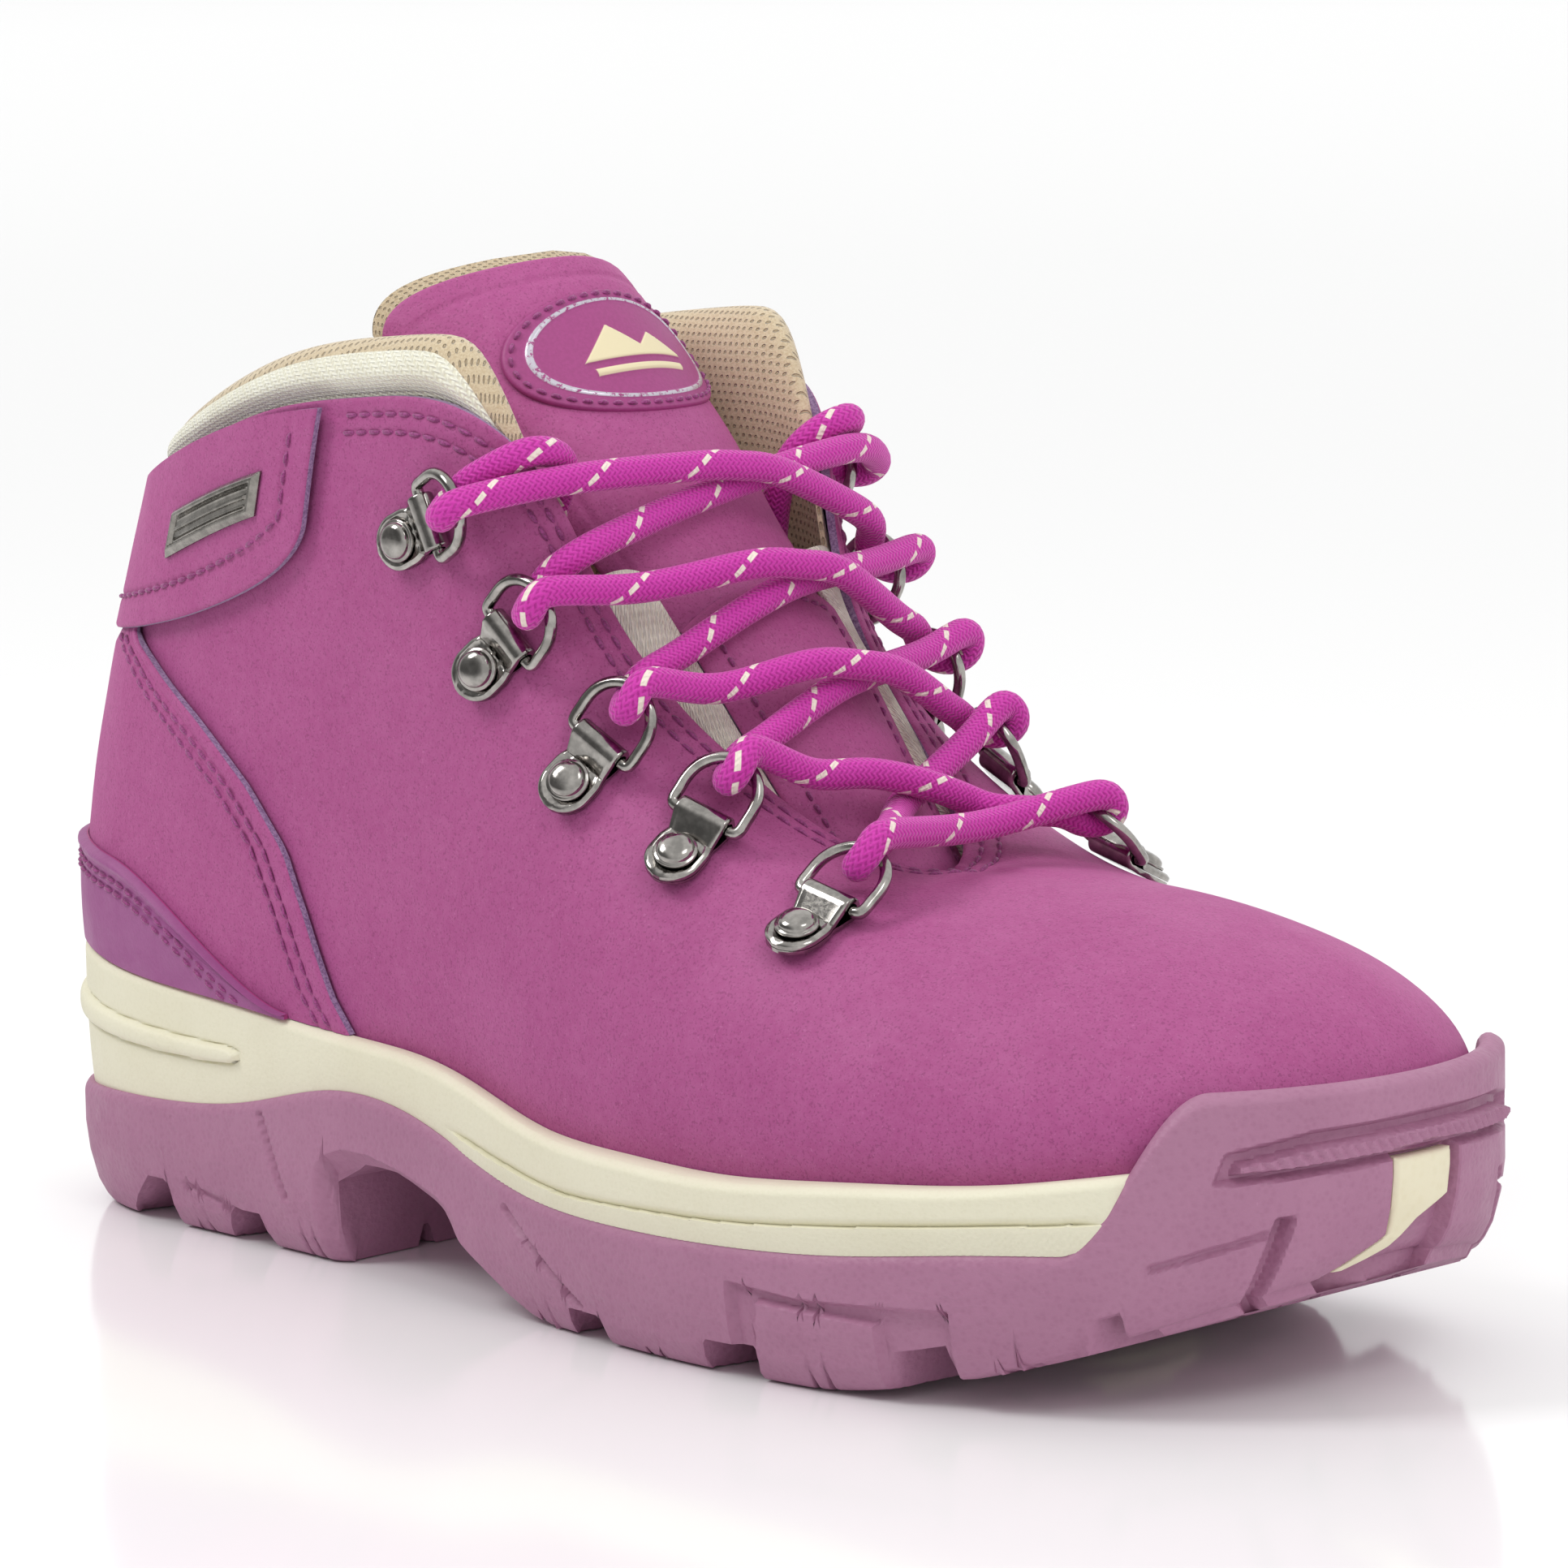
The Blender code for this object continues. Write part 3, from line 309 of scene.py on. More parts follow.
# ---------------------------------------------------------------- places of clips, rings and lace
PLATE_W = 9.4             # clip plate's width
PLATE_T = 0.9             # thickness of each of its two layers
BAR_AT = 7.5              # rivet to hinge bar
BAR_UP = 2.6              # hinge bar above the plane through the clip's two places on the wall


def clip_frame(number, inner):
    """Rivet point, direction to the ring, hinge direction and outward normal."""
    (st0, v0), (st1, v1) = CLIPS[number]
    t0, t1 = st0 / STATIONS, st1 / STATIONS
    if inner:
        t0, t1 = 1 - t0, 1 - t1
    rivet, ring = wall(t0, v0), wall(t1, v1)
    d = (ring - rivet) / np.linalg.norm(ring - rivet)
    n = wall_normal((t0 + t1) / 2, (v0 + v1) / 2)
    n = n - d * np.dot(n, d)
    n /= np.linalg.norm(n)
    s = np.cross(n, d)
    near_t = np.linspace(t0 - 0.03, t0 + 0.03, 25)[None, :]
    near_v = np.linspace(v0 - 0.15, v0 + 0.3, 37)[:, None]
    near = wall(near_t, np.minimum(near_v, 1.0)) - rivet
    under = (np.abs(near @ s) < PLATE_W / 2) & (near @ d > -5.5) & (near @ d < BAR_AT + 2)
    return rivet + n * (near @ n)[under].max(), d, s, n


def placed(frame, points):
    """Points given along (d, s, n) from the rivet."""
    rivet, d, s, n = frame
    p = np.atleast_2d(np.array(points, float))
    return rivet + p[:, :1] * d + p[:, 1:2] * s + p[:, 2:3] * n


def ring_axes(frame):
    """Hinge point, direction to the bow and the ring's normal, with the ring lifted by the lace."""
    tilt = math.radians(RING_TILT)
    hinge = placed(frame, (BAR_AT, 0, BAR_UP))[0]
    _, d, _, n = frame
    return hinge, d * math.cos(tilt) + n * math.sin(tilt), n * math.cos(tilt) - d * math.sin(tilt)


# The lace's free ends, from where each crosses the throat's edge down inside the boot.
LACE_END = [(138.0, -37.6, 139.3), (137.0, -29.2, 137.0), (132.2, -26.4, 130), (128, -28, 116),
            (128, -28.5, 98), (134, -28.5, 78), (146, -29, 61), (162, -31.5, 50.5), (178, -34, 46)]
AGLET_LENGTH = 22.0       # the lace's tips
AGLET_R = 2.1
EDGE_CLEAR = 3.7          # lace centre above the throat's edge
EDGE_LIFT = 4.0           # most that a taut strand stands above that
CREST_CLEAR = 5.3         # lace centre above the tongue's crest
CROSSING = 5.3            # between the centres of two strands that cross
HUMP_REACH = 9            # half the width of the hump where one strand lies on another
BAR_CLEAR = 10.0          # centre of the lowest, straight strand out of the instep's base line
TURN_ANGLES = (-50, -10, 30, 70, 110, 150, 185)     # round the ring's bow, in degrees


def instep(point):
    """A point as (distance up the instep, across, distance out of it)."""
    from_base = np.array(point) - INSTEP_BASE
    return np.array([from_base @ INSTEP_UP, from_base[1], from_base @ INSTEP_FRONT])


def from_instep(up, across, out):
    return INSTEP_BASE + INSTEP_UP * up + INSTEP_FRONT * out + np.array([0.0, across, 0.0])


EDGE_T = np.linspace(0.5, 0.2, 61)
EDGE_LINE = np.array([instep(p) for p in TOP_EDGE(EDGE_T)])
CREST_LINE = np.array([instep(p) for p in tongue(0.0, np.linspace(0, 1, 61))])


def lace_turn(number, inner, over_first):
    """Half a turn through a ring; the strand over the bow goes down the foot, the one under it up."""
    hinge, out, up = ring_axes(clip_frame(number, inner))
    bow = hinge + out * RING_L
    points = []
    for angle in np.radians(TURN_ANGLES):
        turn = up * math.cos(angle) - out * math.sin(angle)
        points.append(bow + LACE_BEND * turn - INSTEP_UP * LACE_SPREAD * math.cos(angle))
    return points if over_first else points[::-1]


def strand(start, end, on_top):
    """From one side's ring to the other's: over one edge of the throat, the tongue and the other edge."""
    a, b = instep(start), instep(end)
    crest = np.interp((a[0] + b[0]) / 2, CREST_LINE[:, 0], CREST_LINE[:, 2]) + CREST_CLEAR
    points = []
    for near, far in ((a, b), (b, a)):
        w = near[0] + 0.2 * (far[0] - near[0])
        half = -np.interp(w, EDGE_LINE[:, 0], EDGE_LINE[:, 1])
        edge = np.interp(w, EDGE_LINE[:, 0], EDGE_LINE[:, 2])
        across = half * np.sign(near[1])
        share = (across - near[1]) / (far[1] - near[1])
        w = near[0] + share * (far[0] - near[0])
        chord = near[2] + (crest + CROSSING * on_top - near[2]) * (1 - across / near[1])
        points.append((w, across, np.clip(chord, edge + EDGE_CLEAR, edge + EDGE_CLEAR + EDGE_LIFT)))
    w = (a[0] + b[0]) / 2
    middle = [(w, 0.0, crest)]
    if on_top:
        lean = (b[0] - a[0]) / (b[1] - a[1])
        hump = (np.sign(a[1]) * HUMP_REACH, 0, np.sign(b[1]) * HUMP_REACH)
        middle = [(w + lean * y, y, crest + CROSSING - abs(y) * 0.1) for y in hump]
    return [from_instep(*p) for p in [points[0]] + middle + [points[1]]]


def lace_route():
    """Criss-cross lacing from the outer top ring down to the toe and back up to the inner top ring."""
    rings = len(CLIPS)
    turns = [(i, i % 2 == 1, False) for i in range(rings)]
    turns += [(i, i % 2 == 0, True) for i in reversed(range(rings))]
    route = []
    for place, (number, inner, over_first) in enumerate(turns):
        turn = lace_turn(number, inner, over_first)
        if place == rings:
            route.append(from_instep(1.5, 0.0, BAR_CLEAR))
        elif place:
            down = place < rings
            from_outer = not turns[place - 1][1]
            route += strand(route[-1], turn[0], from_outer == down)
        route += turn
    mirrored = [(x, -y, z) for x, y, z in LACE_END]
    return LACE_END[::-1] + route + mirrored


# ---------------------------------------------------------------- finishes
def srgb(red, green, blue):
    """A colour given as 0..255 display values, as the linear values that nodes take."""
    share = np.array([red, green, blue], float) / 255
    linear = np.where(share <= 0.04045, share / 12.92, ((share + 0.055) / 1.055) ** 2.4)
    return (*linear.tolist(), 1.0)


class Finish:
    """One procedural material. Lengths are in millimetres, along the object's axes or its UV map."""

    def __init__(self, name, on_uv=False, **values):
        self.material = bpy.data.materials.new(name)
        self.material.use_nodes = True
        self.tree = self.material.node_tree
        self.shader = self.tree.nodes["Principled BSDF"]
        source = self.tree.nodes.new("ShaderNodeTexCoord")
        self.solid = self.vector("SCALE", source.outputs["Object"], scale=1 / MM)
        self.surface = source.outputs["UV"]
        self.place = self.surface if on_uv else self.solid
        for key, value in values.items():
            self.set(key.replace("_", " ").title().replace("Ior", "IOR"), value)

    def link(self, value, socket):
        if isinstance(value, bpy.types.NodeSocket):
            self.tree.links.new(value, socket)
        else:
            socket.default_value = value

    def set(self, name, value):
        self.link(value, self.shader.inputs[name])

    def node(self, kind, **settings):
        made = self.tree.nodes.new("ShaderNode" + kind)
        for key, value in settings.items():
            setattr(made, key, value)
        return made

    def vector(self, operation, first, second=None, scale=None):
        made = self.node("VectorMath", operation=operation)
        self.link(first, made.inputs[0])
        if second is not None:
            self.link(second, made.inputs[1])
        if scale is not None:
            self.link(scale, made.inputs["Scale"])
        return made.outputs[0]

    def math(self, operation, *values, clamp=False):
        made = self.node("Math", operation=operation, use_clamp=clamp)
        for value, socket in zip(values, made.inputs):
            self.link(value, socket)
        return made.outputs[0]

    def split(self, place=None):
        made = self.node("SeparateXYZ")
        self.link(place or self.place, made.inputs[0])
        return made.outputs[0], made.outputs[1], made.outputs[2]

    def noise(self, size, detail=2.0, roughness=0.5, place=None, stretch=None):
        """Noise whose blobs are about size mm across."""
        made = self.node("TexNoise")
        spot = place or self.place
        if stretch:
            spot = self.vector("MULTIPLY", spot, stretch)
        self.link(spot, made.inputs["Vector"])
        made.inputs["Scale"].default_value = 1 / size
        made.inputs["Detail"].default_value = detail
        made.inputs["Roughness"].default_value = roughness
        return made.outputs[0]

    def cells(self, size, feature="F1", randomness=1.0, place=None):
        made = self.node("TexVoronoi", feature=feature)
        self.link(place or self.place, made.inputs["Vector"])
        made.inputs["Scale"].default_value = 1 / size
        made.inputs["Randomness"].default_value = randomness
        return made.outputs["Distance"]

    def remap(self, value, low, high, to_low=0.0, to_high=1.0):
        made = self.node("MapRange", interpolation_type="SMOOTHSTEP")
        for socket, x in zip(made.inputs, (value, low, high, to_low, to_high)):
            self.link(x, socket)
        return made.outputs[0]

    def mix(self, share, first, second):
        made = self.node("Mix", data_type="RGBA")
        self.link(share, made.inputs[0])
        self.link(first, made.inputs[6])
        self.link(second, made.inputs[7])
        return made.outputs[2]

    def bump(self, height, depth, after=None, strength=1.0):
        """Relief of depth mm; after is the relief that it lies on."""
        made = self.node("Bump")
        self.link(height, made.inputs["Height"])
        made.inputs["Distance"].default_value = depth * MM
        made.inputs["Strength"].default_value = strength
        if after:
            self.link(after, made.inputs["Normal"])
        return made.outputs[0]

    def wave(self, value, period, phase=0.0):
        """A sine of a length, from 0 to 1."""
        turned = self.math("MULTIPLY_ADD", value, 2 * math.pi / period, phase)
        return self.math("MULTIPLY_ADD", self.math("SINE", turned), 0.5, 0.5)


def leather_finish(name, colour, deep, pale, speck, roughness, grain=0.05, sheen=0.25, speckle=1.0):
    """Nubuck or smooth leather: cloudy colour, fine dark and pale specks, a grain and soft creases."""
    f = Finish(name, roughness=roughness)
    cloud = f.remap(f.noise(16, 3, 0.6), 0.3, 0.7)
    fine = f.remap(f.noise(1.5, 3, 0.6), 0.3, 0.7)
    base = f.mix(f.math("MULTIPLY", cloud, 0.4), colour, deep)
    base = f.mix(f.math("MULTIPLY", fine, 0.12), base, pale)
    pits = f.remap(f.noise(0.42, 1.5, 0.5), 0.56, 0.66)
    base = f.mix(f.math("MULTIPLY", pits, 0.4 * speckle), base, speck)
    dust = f.remap(f.noise(0.5, 1.0, 0.5, place=f.vector("ADD", f.place, (31.0, 7.0, 3.0))), 0.69, 0.76)
    base = f.mix(f.math("MULTIPLY", dust, 0.3 * speckle), base, pale)
    f.set("Base Color", base)
    f.set("Roughness", f.remap(cloud, 0, 1, roughness - 0.05, roughness + 0.05))
    f.set("Sheen Weight", sheen)
    f.set("Sheen Roughness", 0.45)
    f.set("Sheen Tint", pale)
    f.set("Specular IOR Level", 0.35)
    relief = f.bump(f.noise(7, 2, 0.5), 0.25)
    relief = f.bump(f.cells(0.75), grain, relief)
    relief = f.bump(f.noise(0.35, 2, 0.6), grain, relief)
    f.set("Normal", relief)
    return f


def suede_finish(name, colour, pale):
    """The fibrous cut edge and flesh side of leather."""
    f = Finish(name, roughness=0.95)
    fibre = f.noise(0.5, 3, 0.7)
    f.set("Base Color", f.mix(f.remap(fibre, 0.35, 0.65), colour, pale))
    f.set("Sheen Weight", 0.3)
    f.set("Specular IOR Level", 0.15)
    f.set("Normal", f.bump(fibre, 0.25, f.bump(f.noise(1.4, 2, 0.5), 0.2)))
    return f


def thread_finish(name, colour, deep):
    f = Finish(name, roughness=0.6)
    twist = f.noise(0.35, 2, 0.5)
    f.set("Base Color", f.mix(f.remap(twist, 0.35, 0.65), colour, deep))
    f.set("Sheen Weight", 0.25)
    f.set("Normal", f.bump(twist, 0.12))
    return f


def woven_finish(name, warp_colour, weft_colour, shade_and_dirt, pitch=1.1):
    """A plain weave along the UV map's millimetres, darkened towards one colour in the gaps between its yarns
    as painted shade, and in clouds of dirt.
    """
    f = Finish(name, on_uv=True, roughness=0.85)
    u, v, _ = f.split()
    wobble = f.math("MULTIPLY", f.math("SUBTRACT", f.noise(3.0, 2, 0.5), 0.5), 0.5)
    u = f.math("ADD", u, wobble)
    warp = f.wave(u, pitch)
    weft = f.wave(v, pitch * 0.8)
    over = f.wave(f.math("ADD", f.math("MULTIPLY", u, 0.5), f.math("MULTIPLY", v, 0.625)), pitch)
    under = f.math("SUBTRACT", 1.0, over)
    cross = f.math("MAXIMUM", f.math("MULTIPLY", warp, over), f.math("MULTIPLY", weft, under))
    base = f.mix(f.remap(over, 0.3, 0.7), warp_colour, weft_colour)
    # Painted shade: the gaps between the yarns take up to 55 % of the dark colour.
    base = f.mix(f.remap(cross, 0.05, 0.4, 0.55, 0.0), base, shade_and_dirt)
    # Clouds of dirt, in the same colour as the painted shade.
    cloud = f.remap(f.noise(9, 2, 0.5, place=f.solid), 0.35, 0.7)
    base = f.mix(f.math("MULTIPLY", cloud, 0.25), base, shade_and_dirt)
    f.set("Base Color", base)
    f.set("Sheen Weight", 0.35)
    f.set("Specular IOR Level", 0.2)
    f.set("Normal", f.bump(cross, 0.3, f.bump(f.noise(0.3, 1, 0.5, place=f.solid), 0.06)))
    return f


def mesh_finish(name, thread, deep, pitch=1.4):
    """Knitted spacer mesh with rows of small holes painted dark as shade, along the UV map's millimetres."""
    f = Finish(name, on_uv=True, roughness=0.9)
    u, v, _ = f.split()
    rows = f.wave(v, pitch)
    across = f.wave(u, pitch)
    shifted = f.wave(u, pitch, math.pi)
    odd = f.math("GREATER_THAN", f.wave(v, 2 * pitch), 0.5)
    hole = f.math("MULTIPLY", rows, f.math("ADD", f.math("MULTIPLY", across, odd),
                                           f.math("MULTIPLY", shifted, f.math("SUBTRACT", 1.0, odd))))
    open_share = f.remap(hole, 0.5, 0.85)
    fuzz = f.noise(0.35, 2, 0.6, place=f.solid)
    base = f.mix(f.remap(fuzz, 0.3, 0.7), thread, srgb(196, 176, 144))
    # Painted shade: the holes are mixed halfway to the dark colour.
    base = f.mix(f.math("MULTIPLY", open_share, 0.5), base, deep)
    f.set("Base Color", base)
    f.set("Sheen Weight", 0.4)
    f.set("Specular IOR Level", 0.15)
    height = f.math("SUBTRACT", 1.0, open_share)
    f.set("Normal", f.bump(height, 0.45, f.bump(fuzz, 0.12)))
    return f


def rubber_finish(name, colour, deep, pale, roughness=0.55, grain=1.15, depth=0.12):
    """Moulded rubber or foam with a leather-like stipple and a little dust."""
    f = Finish(name, roughness=roughness)
    cloud = f.remap(f.noise(22, 3, 0.6), 0.3, 0.7)
    base = f.mix(f.math("MULTIPLY", cloud, 0.5), colour, deep)
    cell = f.cells(grain)
    base = f.mix(f.remap(cell, 0.1, 0.6, 0.0, 0.14), base, pale)
    dust = f.remap(f.noise(1.1, 3, 0.7), 0.68, 0.76)
    base = f.mix(f.math("MULTIPLY", dust, 0.25), base, pale)
    f.set("Base Color", base)
    f.set("Roughness", f.remap(f.noise(6, 2, 0.5), 0.3, 0.7, roughness - 0.07, roughness + 0.08))
    f.set("Specular IOR Level", 0.45)
    wave = f.noise(grain * 1.2, 2, 0.55, stretch=(1.0, 1.0, 1.5))
    f.set("Normal", f.bump(wave, depth, f.bump(cell, depth * 0.6)))
    return f


def metal_finish(name, colour, deep, roughness):
    """Dark nickel: slightly cloudy, brushed fine and worn brighter in specks."""
    f = Finish(name, metallic=1.0)
    cloud = f.remap(f.noise(2.6, 3, 0.6), 0.3, 0.7)
    f.set("Base Color", f.mix(cloud, colour, deep))
    f.set("Roughness", f.remap(f.noise(0.6, 3, 0.6), 0.3, 0.7, roughness - 0.04, roughness + 0.05))
    f.set("Normal", f.bump(f.noise(1.2, 2, 0.5), 0.006))
    return f


def lace_finish(name):
    """A round braid: slanted stitches both ways, painted darker in the grooves between them as shade, and
    pairs of pale flecks on a slow spiral.
    """
    f = Finish(name, on_uv=True, roughness=0.7)
    along, turn, _ = f.split()
    left = f.wave(f.math("ADD", along, f.math("MULTIPLY", turn, 12.0)), 1.0)
    right = f.wave(f.math("SUBTRACT", along, f.math("MULTIPLY", turn, 12.0)), 1.0)
    side = f.wave(turn, 1 / 11)
    other = f.math("SUBTRACT", 1.0, side)
    braid = f.math("ADD", f.math("MULTIPLY", left, side), f.math("MULTIPLY", right, other))
    # Painted shade: the braid's grooves take the darker colour and its raised stitches the paler one.
    base = f.mix(f.remap(braid, 0.1, 0.55), srgb(172, 32, 138), srgb(204, 54, 168))
    base = f.mix(f.remap(f.noise(0.4, 2, 0.6, place=f.solid), 0.4, 0.75, 0.0, 0.3), base, srgb(218, 92, 188))
    helix = f.wave(f.math("ADD", along, f.math("MULTIPLY", turn, 20.0)), 20.0)
    dashes = f.wave(f.math("SUBTRACT", along, f.math("MULTIPLY", turn, 7.6)), 3.8)
    fleck = f.math("MULTIPLY", f.remap(helix, 0.982, 0.991), f.remap(dashes, 0.22, 0.34))
    base = f.mix(fleck, base, srgb(240, 228, 214))
    f.set("Base Color", base)
    f.set("Sheen Weight", 0.5)
    f.set("Sheen Roughness", 0.4)
    f.set("Sheen Tint", srgb(255, 190, 235))
    f.set("Specular IOR Level", 0.3)
    f.set("Normal", f.bump(braid, 0.16, f.bump(f.noise(0.3, 2, 0.5, place=f.solid), 0.05)))
    return f


def emblem_finish(name, ground, raised, edge):
    """The tongue's patch: two plain peaks over a bar, and a worn metallic line round the oval."""
    f = Finish(name, on_uv=True, roughness=0.5)
    x, y, _ = f.split()
    peaks = []
    for height, middle, slope in PEAKS:
        away = f.math("ABSOLUTE", f.math("SUBTRACT", x, middle))
        peaks.append(f.math("MULTIPLY_ADD", away, -slope, height))
    hill = f.math("SUBTRACT", f.math("MAXIMUM", *peaks), y)
    hill = f.math("MINIMUM", f.remap(hill, 0.0, 0.25), f.remap(y, HILL_FOOT, HILL_FOOT + 0.2))
    bar = f.math("ABSOLUTE", f.math("SUBTRACT", y, BAR_Y))
    bar = f.math("MINIMUM", f.remap(bar, BAR_HALF + 0.2, BAR_HALF), f.remap(f.math("ABSOLUTE", x), 8.8, 8.6))
    squares = [f.math("POWER", f.math("DIVIDE", place, half), 2.0) for place, half in zip((x, y), PATCH_HALF)]
    line = f.math("ABSOLUTE", f.math("SUBTRACT", f.math("SQRT", f.math("ADD", *squares)), RIM_AT))
    line = f.remap(line, 0.032, 0.022)
    worn = f.remap(f.noise(0.9, 3, 0.7, place=f.solid), 0.36, 0.5)
    line = f.math("MULTIPLY", line, worn)
    fine = f.remap(f.noise(0.6, 2, 0.5, place=f.solid), 0.3, 0.7, 0.0, 0.2)
    base = f.mix(fine, ground, srgb(120, 40, 92))
    base = f.mix(line, base, edge)
    base = f.mix(f.math("MAXIMUM", hill, bar), base, raised)
    f.set("Base Color", base)
    f.set("Metallic", f.math("MULTIPLY", line, 0.6))
    f.set("Roughness", f.remap(line, 0, 1, 0.52, 0.3))
    f.set("Normal", f.bump(f.noise(0.5, 2, 0.5, place=f.solid), 0.03))
    return f


# The emblem on the tongue's patch, in millimetres from the oval's middle.
PATCH_HALF = (21.5, 12.5)
# Each peak's height, middle and slope.
PEAKS = ((4.6, -3.0, 1.0), (2.6, 4.6, 0.9))
HILL_FOOT = -2.4
BAR_Y, BAR_HALF = -4.4, 0.6
RIM_AT = 0.80             # the metallic line, as a share of the oval


def fibre_finish(name, colour, deep, size=1.2, depth=0.15, roughness=0.92):
    """Board, foam, felt and stiffener."""
    f = Finish(name, roughness=roughness)
    grain = f.noise(size, 4, 0.65)
    f.set("Base Color", f.mix(f.remap(grain, 0.35, 0.65), colour, deep))
    f.set("Specular IOR Level", 0.2)
    f.set("Normal", f.bump(grain, depth, f.bump(f.cells(size * 0.8), depth * 0.6)))
    return f


NUBUCK = leather_finish("nubuck", srgb(167, 78, 134), srgb(155, 66, 122), srgb(200, 124, 172),
                        srgb(112, 42, 88), 0.66, sheen=0.35)
TONGUE_NUBUCK = leather_finish("tongue_nubuck", srgb(172, 80, 138), srgb(160, 68, 126), srgb(204, 126, 174),
                               srgb(120, 48, 94), 0.68, sheen=0.35)
SMOOTH = leather_finish("smooth_leather", srgb(150, 82, 134), srgb(138, 64, 120), srgb(176, 100, 156),
                        srgb(104, 44, 92), 0.5, grain=0.03, sheen=0.12, speckle=0.25)
ROLLED = leather_finish("rolled_edge", srgb(160, 56, 118), srgb(146, 48, 108), srgb(190, 96, 150),
                        srgb(104, 34, 80), 0.45, grain=0.02, sheen=0.1, speckle=0.2)
SUEDE = suede_finish("cut_edge", srgb(118, 88, 128), srgb(160, 132, 170))
THREAD = thread_finish("thread", srgb(156, 62, 130), srgb(124, 40, 100))
# Its third colour is both the painted shade between the yarns and the dirt.
CREAM_WEAVE = woven_finish("cream_weave", srgb(252, 251, 236), srgb(245, 243, 224), srgb(214, 207, 180))
# Its second colour is the painted shade in the holes.
TAN_MESH = mesh_finish("tan_mesh_knit", srgb(214, 198, 168), srgb(120, 98, 66))
MIDSOLE = rubber_finish("midsole_foam", srgb(226, 222, 198), srgb(218, 213, 186), srgb(240, 237, 218),
                        roughness=0.6, grain=0.8, depth=0.06)
OUTSOLE = rubber_finish("sole_rubber", srgb(165, 113, 142), srgb(154, 101, 131), srgb(192, 142, 170),
                        depth=0.16)
CREAM_RUBBER = rubber_finish("cream_rubber", srgb(230, 222, 194), srgb(220, 210, 178), srgb(244, 240, 220),
                             roughness=0.55, grain=1.5, depth=0.05)
METAL = metal_finish("dark_nickel", srgb(172, 168, 163), srgb(136, 133, 129), 0.15)
BADGE_METAL = metal_finish("badge_nickel", srgb(150, 146, 140), srgb(116, 113, 108), 0.24)
LACE = lace_finish("braided_lace")
BOARD = fibre_finish("fibre_board", srgb(186, 168, 136), srgb(150, 130, 98))
FOAM = fibre_finish("open_foam", srgb(232, 226, 208), srgb(206, 198, 176), size=0.8)
STIFFENER = fibre_finish("stiffener_felt", srgb(214, 214, 208), srgb(182, 182, 178), size=0.7)
STEEL = metal_finish("spring_steel", srgb(150, 152, 156), srgb(110, 112, 118), 0.35)
PATCH = emblem_finish("patch_leather", srgb(160, 62, 126), srgb(228, 216, 178), srgb(200, 196, 206))


# ---------------------------------------------------------------- mesh helpers
def piece(name, points, faces, finishes, slot, body="boot", which=None, uv=None, stands_for=(), sharp=38):
    """One closed mesh; points in mm. which gives each face its finish, uv each face corner its place."""
    mesh = bpy.data.meshes.new(name)
    mesh.from_pydata(((np.asarray(points) - MIDDLE) * MM).tolist(), [], [list(face) for face in faces])
    for finish in finishes:
        mesh.materials.append(finish.material)
    if which is not None:
        mesh.polygons.foreach_set("material_index", np.asarray(which, np.int32))
    if uv is not None:
        layer = mesh.uv_layers.new(name="weave")
        layer.data.foreach_set("uv", np.asarray(uv, np.float32).ravel())
    bm = bmesh.new()
    bm.from_mesh(mesh)
    bmesh.ops.recalc_face_normals(bm, faces=bm.faces)
    bm.to_mesh(mesh)
    bm.free()
    mesh.shade_smooth()
    mesh.set_sharp_from_angle(angle=math.radians(sharp))
    obj = bpy.data.objects.new(name, mesh)
    bpy.context.scene.collection.objects.link(obj)
    if body:
        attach(obj, body)
    if stands_for:
        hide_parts(*stands_for)
    return obj


def quads(cols, rows, wrap_cols=False, wrap_rows=False, base=0):
    """Faces of a grid whose point (i, j) has the index base + i * rows + j."""
    i, j = np.meshgrid(np.arange(cols if wrap_cols else cols - 1),
                       np.arange(rows if wrap_rows else rows - 1), indexing="ij")
    i, j = i.ravel(), j.ravel()
    k, m = (i + 1) % cols, (j + 1) % rows
    return base + np.stack([i * rows + j, k * rows + j, k * rows + m, i * rows + m], 1)


def run_lengths(grid, axis):
    """Millimetres along a grid's columns (axis 0) or rows (axis 1), from the first."""
    step = np.linalg.norm(np.diff(grid, axis=axis), axis=-1)
    shape = list(step.shape)
    shape[axis] = 1
    return np.concatenate([np.zeros(shape), np.cumsum(step, axis=axis)], axis)


def face_corners(u, v):
    """The four corners of each face of a grid of places, in quads()'s order."""
    uv = np.stack([u, v], -1)
    return np.stack([uv[:-1, :-1], uv[1:, :-1], uv[1:, 1:], uv[:-1, 1:]], 2).reshape(-1, 2)


def across_foot(cols, rows, row):
    """Faces that close one row of a grid that runs round the foot, from the outer side to the inner."""
    half = cols // 2
    faces = [[row, rows + row, (cols - 1) * rows + row]]
    for i in range(1, half):
        a, b = i * rows + row, (i + 1) * rows + row
        c, d = ((cols - i - 1) % cols) * rows + row, (cols - i) * rows + row
        faces.append([a, b, d] if i == half - 1 else [a, b, c, d])
    return faces


def grid_uv(grid, wrap_cols=False, wrap_rows=False):
    """Face corners' places in millimetres, in quads()'s order: along the columns, then along the rows."""
    whole = grid
    if wrap_cols:
        whole = np.concatenate([whole, whole[:1]], 0)
    if wrap_rows:
        whole = np.concatenate([whole, whole[:, :1]], 1)
    middle = whole.shape[1] // 2
    u = np.broadcast_to(run_lengths(whole[:, middle:middle + 1], 0), whole.shape[:2])
    v = run_lengths(whole, 1)
    return face_corners(u, v)


